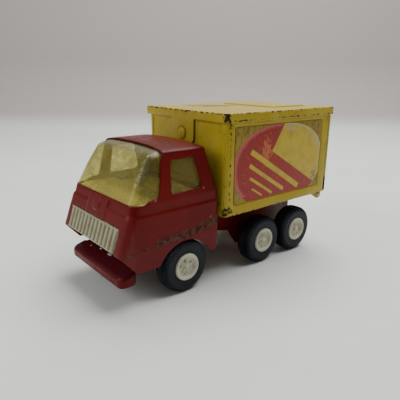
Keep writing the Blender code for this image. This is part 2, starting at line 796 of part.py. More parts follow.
def roof_rivet(yellow):
    """The domed rivet that holds the roof's tab to the box's front wall."""
    head_radius = 0.0056
    head = 0.0020
    stack = BOX_FRONT + BOX_WALL - ROOF_LIP_FRONT
    profile = [(0.0, head)]
    for step in range(1, 5):
        angle = math.pi / 2 * step / 4
        profile.append((head_radius * math.sin(angle), 0.0001 + (head - 0.0001) * math.cos(angle)))
    profile += [(0.0016, 0.0001), (0.0016, -stack - 0.0001), (0.0026, -stack - 0.0001)]
    profile += [(0.0020, -stack - 0.0010), (0.0, -stack - 0.0011)]
    rivet = turned("roof_tab_rivet", profile, 16, yellow)
    rivet.rotation_euler = (math.pi / 2, 0, 0)
    rivet.location = (0, along(ROOF_LIP_FRONT), TAB_RIVET_Z)
    return rivet


def rear_door(yellow):
    """A drop-down door: a panel with side and top flanges, two hinge ears and a finger ridge."""
    flange = BOX_WALLS_REAR + GAP
    low, high = along(flange), along(BOX_REAR)
    half = BOX_HALF_WIDTH
    bottom = BOX_BOTTOM + GAP
    outline = rounded(box_outline(-half, half, bottom, DOOR_TOP), 0.0012, steps=2)
    door = plate("rear_door", outline, "Y", low, high, TRUCK, yellow)
    inner = box_outline(-half + SHEET, half - SHEET, bottom - 0.003, DOOR_TOP - SHEET)
    boolean(door, plate("door_hollow", inner, "Y", low - 0.003, high - SHEET))
    for side in (-1, 1):
        boolean(door, door_ear(side, high - SHEET + 0.0004), "UNION")
        hole = cylinder(
            "door_ear_hole", PIN_RADIUS + GAP, side * 0.0497, along(HINGE_Y), HINGE_Z, 0.0015
        )
        boolean(door, hole)
    ridge = rounded(box_outline(-0.0140, 0.0140, 0.1215, 0.1265), 0.002, steps=3)
    pull = plate("door_pull", ridge, "Y", high - 0.0005, high + 0.0017)
    bevel(pull, 0.0007)
    boolean(door, pull, "UNION")
    panel = rounded(box_outline(-0.0430, 0.0430, 0.0660, 0.1160), 0.002, steps=2)
    boolean(door, plate("door_recess", panel, "Y", high - 0.0005, high + 0.004))
    place_origin(door, (0, along(HINGE_Y), HINGE_Z))
    return door


def door_ear(side, back):
    """A lug from the door's panel forward to the hinge pin."""
    radius = 0.0036
    middle = along(HINGE_Y)
    outline = [(back, 0.0570), (back, 0.0660), (along(BOX_WALLS_REAR + 0.0004), 0.0630)]
    outline.append((along(BOX_WALLS_REAR + 0.0004), 0.0580))
    for step in range(9):
        angle = math.radians(70 + 210 * step / 8)
        outline.append((middle + radius * math.cos(angle), HINGE_Z + radius * math.sin(angle)))
    low, high = sorted((side * 0.0490, side * 0.0502))
    return plate("door_ear", outline, "X", low, high)


def place_origin(obj, point):
    """Moves an object's origin to a point and leaves its shape where it is."""
    obj.data.transform(Matrix.Translation([-value for value in point]))
    obj.location = point


def hinge_pins(steel):
    for side_name, side in (("left", 1), ("right", -1)):
        profile = [(0.0, 0.0010), (0.0015, 0.0008), (0.0020, 0.0001), (PIN_RADIUS, 0.0001)]
        profile += [(PIN_RADIUS, -0.0032), (0.0018, -0.0032), (0.0014, -0.0039), (0.0, -0.0040)]
        pin = turned("door_pin_" + side_name, profile, 12, steel)
        pin.rotation_euler = (0, side * math.pi / 2, 0)
        pin.location = (side * 0.0519, along(HINGE_Y), HINGE_Z)


def labels():
    film = paint("label_film", (0.42, 0.16, 0.06), 0.3)
    outline = rounded(box_outline(along(0.0462), along(0.1614), 0.0653, 0.1290), 0.0015, steps=2)
    for side_name, side in (("left", 1), ("right", -1)):
        inner = BOX_HALF_WIDTH - RECESS + GAP
        low, high = sorted((side * inner, side * (inner + 0.00025)))
        plate("side_label_" + side_name, outline, "X", low, high, TRUCK, film)


def main():
    clear_scene()
    collection(TRUCK)
    collection(CUTTERS)
    steel = paint("rivet_steel", (0.5, 0.48, 0.45), 0.4, metallic=1.0)
    yellow = paint("box_paint", (0.50, 0.33, 0.045), 0.4)
    wheels_and_axles()
    chassis()
    cab()
    window_insert()
    cab_interior()
    grille()
    cargo_box(yellow)
    box_roof(yellow)
    roof_rivet(yellow)
    rear_door(yellow)
    hinge_pins(steel)
    labels()
    deck_under = CHASSIS_TOP - SHEET
    flange_top = CHASSIS_TOP + GAP + SHEET
    deck_rivets("cab_rivet", cab_rivet_places(), flange_top, deck_under, steel)
    deck_rivets("box_rivet", box_rivet_places(), FLOOR_Z + SHEET, deck_under, steel)


main()
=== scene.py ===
"""The looks of a vintage pressed-steel toy box truck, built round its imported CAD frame.

The front of the truck faces -Y, its left side is +X and it stands on Z = 0. Lengths are metres,
and distances along the truck are counted from the front axle, as along() places them.
"""

import math

import bmesh
import bpy
from mathutils import Matrix, Vector


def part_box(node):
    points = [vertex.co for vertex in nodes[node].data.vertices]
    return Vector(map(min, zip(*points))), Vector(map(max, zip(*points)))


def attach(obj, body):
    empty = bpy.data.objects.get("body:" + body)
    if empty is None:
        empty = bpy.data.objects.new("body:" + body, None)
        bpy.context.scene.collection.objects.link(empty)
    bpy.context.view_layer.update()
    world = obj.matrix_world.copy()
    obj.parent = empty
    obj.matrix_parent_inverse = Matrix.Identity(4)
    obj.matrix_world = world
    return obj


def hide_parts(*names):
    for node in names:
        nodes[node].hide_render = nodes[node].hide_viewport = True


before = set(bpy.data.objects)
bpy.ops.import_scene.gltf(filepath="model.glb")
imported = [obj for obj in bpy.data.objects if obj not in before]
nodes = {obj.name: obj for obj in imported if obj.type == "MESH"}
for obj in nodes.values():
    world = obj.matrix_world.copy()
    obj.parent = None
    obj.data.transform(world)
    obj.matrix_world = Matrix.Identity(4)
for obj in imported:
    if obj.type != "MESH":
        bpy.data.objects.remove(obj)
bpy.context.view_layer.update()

BODY = "truck_body"
WHEEL_BODIES = {"front": "front_wheels", "rear_1": "rear_wheels_1", "rear_2": "rear_wheels_2"}
SIDES = (1, -1)


def centre_of(node):
    low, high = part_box(node)
    return (low + high) / 2


FRONT_AXLE = centre_of("axle_front")


def along(distance):
    """The Y coordinate of a distance behind the front axle."""
    return FRONT_AXLE.y + distance


def shifted(outline):
    """An outline of (distance, z) as (y, z)."""
    return [(along(distance), z) for distance, z in outline]


# ---------------------------------------------------------------- meshes


def new_object(name, mesh):
    obj = bpy.data.objects.new(name, mesh)
    bpy.context.scene.collection.objects.link(obj)
    return obj


def mesh_from(name, verts, faces):
    mesh = bpy.data.meshes.new(name)
    mesh.from_pydata(verts, [], faces)
    edit = bmesh.new()
    edit.from_mesh(mesh)
    bmesh.ops.remove_doubles(edit, verts=edit.verts, dist=1e-6)
    bmesh.ops.recalc_face_normals(edit, faces=edit.faces)
    edit.to_mesh(mesh)
    edit.free()
    return mesh


def arc(a, b, radius, first, turn, steps):
    """Points round (a, b) from angle first, through the angle turn, both ends included."""
    angles = [first + turn * step / steps for step in range(steps + 1)]
    return [(a + radius * math.cos(angle), b + radius * math.sin(angle)) for angle in angles]


def rounded(points, radius, steps=8):
    """The closed outline with each corner replaced by an arc; radius is one value or one each."""
    radii = radius if isinstance(radius, (list, tuple)) else [radius] * len(points)
    outline = []
    for index, (corner, radius) in enumerate(zip(points, radii)):
        if radius <= 0:
            outline.append(tuple(corner))
            continue
        at = Vector(corner)
        u = (Vector(points[index - 1]) - at).normalized()
        v = (Vector(points[(index + 1) % len(points)]) - at).normalized()
        half = math.acos(max(-1.0, min(1.0, u.dot(v)))) / 2
        centre = at + (u + v).normalized() * (radius / math.sin(half))
        reach = radius / math.tan(half)
        start = at + u * reach - centre
        end = at + v * reach - centre
        first = math.atan2(start.y, start.x)
        turn = math.atan2(end.y, end.x) - first
        turn = (turn + math.pi) % (2 * math.pi) - math.pi
        outline += arc(centre.x, centre.y, radius, first, turn, steps)
    return outline


def circle(radius, a, b, sides):
    return arc(a, b, radius, 0.0, 2 * math.pi, sides)[:-1]


def rectangle(low_a, high_a, low_b, high_b):
    return [(low_a, low_b), (high_a, low_b), (high_a, high_b), (low_a, high_b)]


def mirrored_corners(half, front, back):
    """The (x, y) corners of a plan that is the same on both sides, from the front left."""
    return [(half, front), (half, back), (-half, back), (-half, front)]


def widened(outline, by):
    """The rectangle-like outline grown outwards by a little on every side."""
    middle = [sum(values) / len(outline) for values in zip(*outline)]
    return [
        (a + math.copysign(by, a - middle[0]), b + math.copysign(by, b - middle[1]))
        for a, b in outline
    ]


def placed(axis, a, b, depth):
    """A point of an outline: (y, z) for X, (x, z) for Y and (x, y) for Z."""
    return {"X": (depth, a, b), "Y": (a, depth, b), "Z": (a, b, depth)}[axis]


def loft(name, rings):
    """A closed solid through rings of equal point counts, lowest ring first."""
    count = len(rings[0])
    verts = [point for level in rings for point in level]
    faces = [tuple(range(count)), tuple(range(len(verts) - 1, len(verts) - count - 1, -1))]
    for level in range(len(rings) - 1):
        low, high = level * count, (level + 1) * count
        for index in range(count):
            after = (index + 1) % count
            faces.append((low + index, low + after, high + after, high + index))
    return new_object(name, mesh_from(name, verts, faces))


def prism(name, outline, axis, low, high, low_outline=None):
    """A flat outline made solid from low to high; low_outline tapers it towards low."""
    first = [placed(axis, a, b, low) for a, b in (low_outline or outline)]
    return loft(name, [first, [placed(axis, a, b, high) for a, b in outline]])


def rod(name, radius, y, z, half_length, sides):
    """A cylinder along X, as long on the right as on the left."""
    return prism(name, circle(radius, y, z, sides), "X", -half_length, half_length)


def apply_modifiers(obj):
    evaluated = obj.evaluated_get(bpy.context.evaluated_depsgraph_get())
    mesh = bpy.data.meshes.new_from_object(evaluated)
    obj.modifiers.clear()
    obj.data = mesh


def combine(target, others, operation="DIFFERENCE"):
    """Cuts the other objects from the target, or joins them to it, and removes them."""
    for other in others:
        modifier = target.modifiers.new(other.name, "BOOLEAN")
        modifier.operation = operation
        modifier.solver = "EXACT"
        modifier.object = other
    apply_modifiers(target)
    for other in others:
        bpy.data.objects.remove(other)


def bevel(obj, width, segments=3, degrees=40):
    modifier = obj.modifiers.new("edges", "BEVEL")
    modifier.width = width
    modifier.segments = segments
    modifier.limit_method = "ANGLE"
    modifier.angle_limit = math.radians(degrees)
    modifier.harden_normals = False
    apply_modifiers(obj)


def soften(obj, voxel, passes, keep):
    """Rounds every edge of a pressed-metal solid: remesh, smooth, then drop spare faces."""
    remesh = obj.modifiers.new("remesh", "REMESH")
    remesh.mode = "VOXEL"
    remesh.voxel_size = voxel
    smoothing = obj.modifiers.new("smooth", "SMOOTH")
    smoothing.factor = 0.5
    smoothing.iterations = passes
    thin = obj.modifiers.new("thin", "DECIMATE")
    thin.ratio = keep
    apply_modifiers(obj)


def shade(obj, degrees=None):
    obj.data.shade_smooth()
    if degrees:
        obj.data.set_sharp_from_angle(angle=math.radians(degrees))


def lathe_x(name, profile, segments, side, shape=None, closed=False):
    """A profile of (radius, outward x) turned about the X axis; shape(r, x, angle) may move a
    point. side is +1 for a wheel on the left and -1 for one on the right."""
    verts, faces = [], []
    count = len(profile)
    for step in range(segments):
        angle = 2 * math.pi * step / segments
        for radius, out in profile:
            r, x = shape(radius, out, angle) if shape else (radius, out)
            verts.append((side * x, r * math.cos(angle), r * math.sin(angle)))
    for step in range(segments):
        low, high = step * count, (step + 1) % segments * count
        for index in range(count if closed else count - 1):
            following = (index + 1) % count
            faces.append((low + index, low + following, high + following, high + index))
    return new_object(name, mesh_from(name, verts, faces))


def finish_piece(obj, body, material, replaces):
    obj.data.materials.clear()
    obj.data.materials.append(material)
    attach(obj, body)
    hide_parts(*replaces)


# ---------------------------------------------------------------- materials


class Wire:
    """A number or colour that a material's nodes work out, and what can be done with it."""

    def __init__(self, surface, socket):
        self.surface, self.socket = surface, socket

    def __add__(self, other):
        return self.surface.math("ADD", self, other)

    def __sub__(self, other):
        return self.surface.math("SUBTRACT", self, other)

    def __mul__(self, other):
        return self.surface.math("MULTIPLY", self, other)

    def __truediv__(self, other):
        return self.surface.math("DIVIDE", self, other)

    def __pow__(self, other):
        return self.surface.math("POWER", self, other)

    def __abs__(self):
        return self.surface.math("ABSOLUTE", self)

    def inverse(self):
        return self.surface.math("SUBTRACT", 1.0, self)

    def ease(self, low, high):
        """0 below low and 1 above high, smoothly between; low may be the larger one."""
        values = {0: self, 1: low, 2: high}
        return self.surface.add("MapRange", values, interpolation_type="SMOOTHSTEP")

    def mix(self, a, b):
        """Colour a turned into colour b by this share."""
        return self.surface.add("Mix", {0: self, 6: a, 7: b}, 2, data_type="RGBA")

    def blend(self, a, b):
        """Number a turned into number b by this share."""
        return self.surface.add("Mix", {0: self, 2: a, 3: b}, data_type="FLOAT")


def most(wires):
    found = wires[0]
    for wire in wires[1:]:
        found = found.surface.math("MAXIMUM", found, wire)
    return found


class Surface:
    """Short calls that build one material's node tree round its Principled shader."""

    def __init__(self, name, roughness=0.5, metallic=0.0, specular=0.5, coat=0.0, coat_rough=0.1):
        self.material = bpy.data.materials.new(name)
        self.material.use_nodes = True
        self.tree = self.material.node_tree
        self.shader = self.tree.nodes["Principled BSDF"]
        self.set("Roughness", roughness)
        self.set("Metallic", metallic)
        self.set("Specular IOR Level", specular)
        self.set("Coat Weight", coat)
        self.set("Coat Roughness", coat_rough)
        self.place = self.add("TexCoord", output="Object")
        self.x, self.y, self.z = self.split(self.place)

    def add(self, kind, values=(), output=0, **settings):
        """A new node with these inputs, as the wire out of one of its outputs."""
        node = self.tree.nodes.new("ShaderNode" + kind)
        for name, value in settings.items():
            setattr(node, name, value)
        for key, value in dict(values).items():
            self.put(node.inputs[key], value)
        return Wire(self, node.outputs[output])

    def put(self, socket, value):
        if isinstance(value, Wire):
            self.tree.links.new(value.socket, socket)
        else:
            socket.default_value = value

    def set(self, name, value):
        self.put(self.shader.inputs[name], value)

    def split(self, vector):
        first = self.add("SeparateXYZ", {0: vector})
        return [Wire(self, socket) for socket in first.socket.node.outputs]

    def math(self, operation, a, b=0.0, clamp=False):
        return self.add("Math", {0: a, 1: b}, operation=operation, use_clamp=clamp)

    def vector(self, operation, a, b):
        """A sum of two vectors; for SCALE, b is the number."""
        values = {0: a, "Scale" if operation == "SCALE" else 1: b}
        output = "Value" if operation == "DOT_PRODUCT" else "Vector"
        return self.add("VectorMath", values, output, operation=operation)

    def length(self, vector):
        return self.add("VectorMath", {0: vector}, "Value", operation="LENGTH")

    def noise(self, scale, detail=3.0, rough=0.55, stretch=None, offset=0.0, distortion=0.0):
        """Noise in 0 to 1 on the object's own coordinates, scale in cycles per metre."""
        place = self.place
        if stretch or offset:
            moves = {"Location": (offset,) * 3, "Scale": stretch or (1, 1, 1)}
            place = self.add("Mapping", {"Vector": place, **moves})
        values = {"Vector": place, "Scale": scale, "Detail": detail, "Roughness": rough}
        return self.add("TexNoise", {**values, "Distortion": distortion}, "Fac")

    def near(self, start, end, inner, outer):
        """1 within inner of the segment from start to end, 0 beyond outer."""
        a, b = Vector(start), Vector(end)
        span = b - a
        away = self.vector("SUBTRACT", self.place, tuple(a))
        if span.length > 1e-6:
            share = self.vector("DOT_PRODUCT", away, tuple(span / span.length_squared))
            share = self.math("ADD", share, 0.0, clamp=True)
            nearest = self.vector("SCALE", tuple(span), share)
            away = self.vector("SUBTRACT", away, nearest)
        return self.length(away).ease(outer, inner)

    def bump(self, height, distance, strength, normal=None):
        values = {"Height": height, "Distance": distance, "Strength": strength}
        if normal is not None:
            values["Normal"] = normal
        return self.add("Bump", values)

    def relief(self, *layers):
        """Bumps of noise, one on another: (scale, detail, distance, strength), lowest first."""
        normal = None
        for scale, detail, distance, strength in layers:
            normal = self.bump(self.noise(scale, detail), distance, strength, normal)
        return normal


def srgb(red, green, blue):
    """A colour given as 0 to 255 screen values, as linear RGBA."""
    linear = []
    for value in (red, green, blue):
        share = value / 255
        linear.append(share / 12.92 if share <= 0.04045 else ((share + 0.055) / 1.055) ** 2.4)
    return (*linear, 1.0)


# ---------------------------------------------------------------- sizes shared by several pieces

BOX_LOW, BOX_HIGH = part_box("box_body")
BOX_CORNER = 0.0040
BOX_WALL = 0.0013
BOX_FLOOR_Z = 0.0600
BOX_BOTTOM = 0.0561
RECESS = 0.0008
HINGE_Y = 0.1683
HINGE_Z = 0.0536

ROOF_LOW, ROOF_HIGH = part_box("box_roof")
LIP_TOP = 0.1406
LIP_LOW = 0.1333
STUD_Z = 0.1208

CAB_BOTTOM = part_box("cab_shell")[0].z
SHEET = 0.0012
CAB_HALF_WIDTH = 0.0494
CAB_REAR = 0.0336
BELT_Z = 0.0722
BELT_STEP = 0.0006
SILL_Z = 0.0796
SILL_HALF_WIDTH = CAB_HALF_WIDTH - 0.0010
ROOF_Z = 0.1136
ROOF_HALF_WIDTH = 0.0434
ROOF_ARCH = 0.0019
ROOF_FRONT = -0.0168
ROOF_REAR = 0.0248
FRONT_AT_SILL = -0.0469
FRONT_SLOPE = 0.34
GLASS_TOP_FRONT = -0.0262
GLASS_BULGE = 0.0012
GRILLE_TOP = 0.0623
GRILLE_BOTTOM = 0.0455
GRILLE_HALF_WIDTH = 0.0385
ARCH_RADIUS = 0.0276
ARCH_Z = 0.0169
DECK_HALF_WIDTH = 0.0268

CHASSIS_LOW, CHASSIS_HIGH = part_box("chassis_frame")
BUMPER_DEPTH = 0.0150
BUMPER_TOP = 0.0266
BUMPER_BOTTOM = 0.0156
BUMPER_SLOPE = 0.28  # how fast the top of the bar rises toward the cab
BUMPER_MIDDLE = CHASSIS_LOW.y + BUMPER_DEPTH / 2


# ---------------------------------------------------------------- the truck's paints and plastics


class PaintedSteel(Surface):
    """Old gloss paint on steel: patchy colour, scratches, grime, and chips to dark metal."""

    def __init__(self, name, main, pale, dark, bare, rust, coat=0.05):
        super().__init__(name, specular=0.1, coat=coat, coat_rough=0.18)
        self.main, self.pale, self.dark = main, pale, dark
        self.bare, self.rust = bare, rust
        self.chip_scale, self.chip_reach = 340.0, 0.42
        self.tints = []

    def tint(self, share, colour):
        """Asks for a colour over the paint and under its chips."""
        self.tints.append((share, colour))

    def build(self, zones):
        fine = self.noise(240.0, 5.0, 0.65)
        grime = self.noise(65.0, 6.0, 0.7, offset=3.1).ease(0.54, 0.76)
        speck = self.noise(900.0, 2.0).ease(0.66, 0.72)
        scratch = self.noise(300.0, 2.0, stretch=(1.0, 0.06, 1.6), offset=1.7).ease(0.68, 0.72)
        colour = self.noise(28.0, 4.0).ease(0.35, 0.70).mix(self.main, self.pale)
        colour = (grime * 0.45).mix(colour, self.dark)
        colour = (speck * 0.35).mix(colour, self.dark)
        colour = (scratch * 0.18).mix(colour, self.pale)
        for share, tint in self.tints:
            colour = share.mix(colour, tint)
        raised = self.noise(self.chip_scale, 6.0, 0.68) + most(zones) * self.chip_reach
        chipped = raised.ease(0.79, 0.82)
        colour = (raised.ease(0.79, 0.89) * 0.30).mix(colour, self.dark)
        rust = fine.ease(0.44, 0.56).mix(self.bare, self.rust)
        self.set("Base Color", chipped.mix(colour, rust))
        rough = grime.blend(fine.ease(0.3, 0.8).blend(0.30, 0.46), 0.55)
        self.set("Roughness", chipped.blend(rough, 0.75))
        peel = self.relief((38.0, 1.0, 0.00035, 0.5), (700.0, 2.0, 0.00004, 0.5))
        self.set("Normal", self.bump(chipped.inverse(), 0.00012, 0.8, peel))
        return self.material


def yellow_steel(name):
    shades = (srgb(170, 146, 38), srgb(182, 160, 58), srgb(108, 86, 26))
    return PaintedSteel(name, *shades, srgb(30, 24, 22), srgb(62, 44, 30))


def red_steel(name, main, pale, dark):
    return PaintedSteel(name, main, pale, dark, srgb(88, 74, 56), srgb(36, 25, 20), coat=0.06)


def box_paint():
    """Worn at the box's lower front corners, its upright corner edges and its hinge ears."""
    paint = yellow_steel("box_yellow_paint")
    zones = []
    front, rear, low, high = BOX_LOW.y, BOX_HIGH.y, BOX_BOTTOM, ROOF_LOW.z + 0.022
    fold = front + 0.0044
    for side in SIDES:
        x = side * (BOX_HIGH.x - 0.0004)
        inner = x - side * 0.002
        ear = (x, along(HINGE_Y), HINGE_Z)
        zones += [
            paint.near((x, front, low), (x, front + 0.003, low + 0.005), 0.0, 0.0110) * 0.84,
            paint.near((x, fold, low + 0.012), (x, fold, high), 0.0, 0.0030) * 0.68,
            paint.near((inner, front, low), (inner, front, high), 0.0, 0.0020) * 0.62,
            paint.near((x, front, low), (x, rear, low), 0.0, 0.0034) * 0.66,
            paint.near((x, rear, low), (x, rear, LIP_TOP), 0.0, 0.0020) * 0.66,
            paint.near(ear, ear, 0.001, 0.0060) * 0.75,
        ]
    return paint.build(zones)


def roof_zones(paint):
    """Wear zones of the roof: heavy at its near front corner, lighter along its edges."""
    zones = []
    front, rear, half, low = ROOF_LOW.y, ROOF_HIGH.y, ROOF_HIGH.x, LIP_TOP - 0.006
    for side in SIDES:
        x = side * half
        corner = (x - side * 0.001, front + 0.001, LIP_TOP - 0.001)
        drop = (x - side * 0.001, front + 0.001, LIP_TOP - 0.005)
        zones += [
            paint.near(corner, drop, 0.0002, 0.0090 if side > 0 else 0.0060) * 0.92,
            paint.near((x, front, LIP_TOP), (x, rear, LIP_TOP), 0.0, 0.0032) * 0.72,
            paint.near((x, rear, LIP_TOP), (x, rear, LIP_TOP - 0.004), 0.0, 0.0034),
            paint.near((x, front, low), (x, rear, low), 0.0, 0.0022) * 0.70,
        ]
    for y in (front, rear):
        zones.append(paint.near((-half, y, LIP_TOP), (half, y, LIP_TOP), 0.0, 0.0042) * 0.76)
    return zones


def roof_paint():
    """Paler on top as painted sheen, and scuffed on top, with a ring of painted shade round the
    tab rivet.
    """
    paint = yellow_steel("roof_yellow_paint")
    top = paint.z.ease(LIP_TOP - 0.0012, LIP_TOP - 0.0002)
    # Painted sheen: the upward faces are tinted paler, standing in for light on the roof.
    paint.tint(top * 0.55, srgb(190, 173, 92))
    ends = ((-0.028, along(0.070), LIP_TOP), (-0.010, along(0.098), LIP_TOP))
    scuff = paint.near(*ends, 0.0, 0.020)
    streak = paint.noise(160.0, 4.0, stretch=(1.0, 0.35, 1.0), offset=0.4)
    paint.tint((streak + scuff * 0.30).ease(0.66, 0.74) * top * 0.85, srgb(88, 70, 48))
    stud = (0.0, ROOF_LOW.y, STUD_Z)
    # Painted shade: a darker ring round the tab rivet, standing in for the shade at its edge.
    painted_shade_ring = paint.near(stud, stud, 0.0052, 0.0076) - paint.near(stud, stud, 0.0044, 0.0052)
    paint.tint(painted_shade_ring * 0.5, srgb(92, 72, 22))
    return paint.build(roof_zones(paint))


def door_paint():
    paint = yellow_steel("door_yellow_paint")
    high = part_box("rear_door")[1]
    y, foot = high.y - 0.0025, 0.058
    zones = []
    for side in SIDES:
        x = side * high.x
        zones.append(paint.near((x, y, foot), (x, y, 0.069), 0.0014, 0.0034))
        zones.append(paint.near((x, high.y, foot), (x, high.y, high.z), 0.0, 0.0022) * 0.55)
    return paint.build(zones)


# The long scrape down each side of the cab, its two patches in front, and the small scars.
SCRAPE = ((0.0335, 0.0545), (0.0200, 0.0535), (0.0080, 0.0505))
SCRAPE += ((-0.0100, 0.0492), (-0.0256, 0.0490))
PATCHES = ((-0.0375, 0.0466), (-0.0515, 0.0454))
CAB_SCARS = ((0.0474, -0.0302, 0.0812), (0.0478, -0.0270, 0.0814))
CAB_SCARS += ((0.0480, 0.0189, 0.0838), (0.0499, 0.0248, 0.0590))


def cab_paint():
    paint = red_steel("cab_red_paint", srgb(100, 12, 11), srgb(110, 20, 17), srgb(50, 10, 10))
    paint.chip_scale, paint.chip_reach = 900.0, 0.33
    paint.tint(paint.z.ease(ROOF_Z - 0.0010, ROOF_Z + 0.0015) * 0.45, srgb(62, 10, 11))
    paint.tint(paint.z.ease(0.0530, 0.0440) * 0.38, srgb(106, 42, 42))
    # Painted highlight: the cab's sloping front is tinted paler pink, standing in for sheen on it.
    paint.tint(paint.y.ease(along(-0.0455), along(-0.0485)) * 0.30, srgb(120, 52, 50))
    zones, scars = [], []
    for side in SIDES:
        x = side * 0.0498
        band = [(x, y, z) for y, z in shifted(SCRAPE)]
        zones += [paint.near(start, end, 0.0014, 0.0078) for start, end in zip(band, band[1:])]
        for y, z in shifted(PATCHES):
            zones.append(paint.near((x, y - 0.003, z), (x, y + 0.003, z), 0.0, 0.0044) * 0.95)
        pillar = (side * 0.0425, along(-0.0170), 0.1128)
        zones.append(paint.near(pillar, pillar, 0.0, 0.0042) * 0.9)
        scars += [(side * out, along(distance), z) for out, distance, z in CAB_SCARS]
    scarred = most([paint.near(scar, scar, 0.0, 0.0020) for scar in scars]).ease(0.2, 0.5)
    paint.tint(scarred * paint.noise(900.0).ease(0.50, 0.56), srgb(170, 104, 92))
    return paint.build(zones)


# Flakes of bare white undercoat on the bumper: left end, right end, distance back, reach.
BUMPER_SCARS = ((-0.0262, -0.0256, 0.0107, 0.0010), (-0.0140, -0.0124, 0.0132, 0.0014))
BUMPER_SCARS += ((0.0004, 0.0037, 0.0131, 0.0019),)


def chassis_paint():
    """Painted shade darkens the bumper's sloping top; chipped along its front edge."""
    paint = red_steel("chassis_red_paint", srgb(90, 11, 15), srgb(100, 18, 21), srgb(42, 8, 10))
    front = CHASSIS_LOW.y
    ridge = BUMPER_TOP - BUMPER_SLOPE * BUMPER_MIDDLE
    # Painted shade: the upward-facing top of the bumper bar is tinted darker maroon.
    above = (paint.z - paint.y * BUMPER_SLOPE).ease(ridge - 0.0016, ridge - 0.0004)
    above = above * paint.y.ease(front + 0.020, front + 0.016)
    paint.tint(above * 0.60, srgb(80, 26, 38))
    ragged = paint.noise(1400.0) * 0.8
    for left, right, back, reach in BUMPER_SCARS:
        y = front + back
        ends = [(x, y, ridge + BUMPER_SLOPE * y) for x in (left, right)]
        scar = paint.near(*ends, 0.0, reach) + ragged
        paint.tint(scar.ease(0.72, 0.82), srgb(244, 240, 232))
    edge = paint.near((-0.043, front, 0.0262), (0.043, front, 0.0262), 0.0, 0.0018)
    return paint.build([edge * 0.30])


def moulded_plastic(name, main, aged, grime_colour, roughness, grime_share, grime_zone=None):
    """Aged moulded plastic: slight mottling, grime in the low places, a faint flow grain."""
    surface = Surface(name)
    colour = surface.noise(90.0, 4.0).ease(0.35, 0.7).mix(main, aged)
    dirt = surface.noise(330.0, 6.0, 0.7, offset=5.0)
    if grime_zone:
        dirt = dirt + grime_zone(surface) * 0.13
    dirt = dirt.ease(0.56, 0.74)
    surface.set("Base Color", (dirt * grime_share).mix(colour, grime_colour))
    surface.set("Roughness", dirt.blend(roughness, 0.75))
    relief = surface.relief((900.0, 3.0, 0.00003, 0.6), (120.0, 2.0, 0.00015, 0.4))
    surface.set("Normal", relief)
    return surface.material


def hub_plastic():
    def dish(surface):
        """The middle of the hub, where brown grime collects round the cap."""
        flat = surface.add("CombineXYZ", {1: surface.y, 2: surface.z})
        return surface.length(flat).ease(0.0088, 0.0060)

    shades = (srgb(203, 199, 178), srgb(189, 184, 158), srgb(122, 98, 68))
    return moulded_plastic("hub_cream_plastic", *shades, 0.42, 0.62, dish)


def grille_plastic():
    def patches(surface):
        return surface.noise(60.0, 2.0).ease(0.45, 0.6)

    shades = (srgb(166, 160, 130), srgb(152, 145, 113), srgb(92, 82, 60))
    return moulded_plastic("grille_cream_plastic", *shades, 0.5, 0.22, patches)


def interior_plastic():
    shades = (srgb(240, 232, 176), srgb(228, 216, 152), srgb(120, 108, 74))
    return moulded_plastic("interior_cream_plastic", *shades, 0.5, 0.45)


def tyre_rubber():
    rubber = Surface("tyre_blue_black_rubber", specular=0.25)
    colour = rubber.noise(120.0, 4.0).ease(0.35, 0.7).mix(srgb(17, 21, 29), srgb(25, 29, 38))
    dust = rubber.noise(600.0, 5.0, 0.7).ease(0.58, 0.74)
    rubber.set("Base Color", (dust * 0.35).mix(colour, srgb(72, 71, 68)))
    rubber.set("Roughness", dust.blend(0.52, 0.82))
    rubber.set("Normal", rubber.relief((1500.0, 2.0, 0.00003, 0.6), (200.0, 2.0, 0.0001, 0.3)))
    return rubber.material


def bare_steel(name, tint):
    steel = Surface(name, metallic=1.0)
    tarnish = steel.noise(450.0, 5.0, 0.7).ease(0.48, 0.7)
    steel.set("Base Color", tarnish.mix(tint, srgb(92, 74, 60)))
    steel.set("Roughness", tarnish.blend(0.32, 0.7))
    steel.set("Normal", steel.relief((1200.0, 2.0, 0.00003, 0.6)))
    return steel.material


def window_beads(pane):
    """The moulded bead down each front corner, darkened as painted shade for the light it bends,
    and the painted highlight line beside it.
    """
    beads, highlight_lines = [], []
    for side in SIDES:
        foot = Vector((side * 0.0448, along(-0.0440), SILL_Z))
        high = Vector((side * 0.0398, along(-0.0248), ROOF_Z - 0.0015))
        low = foot.lerp(high, 0.42)
        beads.append(pane.near(low, high, 0.0008, 0.0027))
        shift = Vector((side * -0.0036, 0.0, 0.0))
        highlight_lines.append(pane.near(low + shift, high + shift, 0.0004, 0.0010))
    return most(beads), most(highlight_lines)


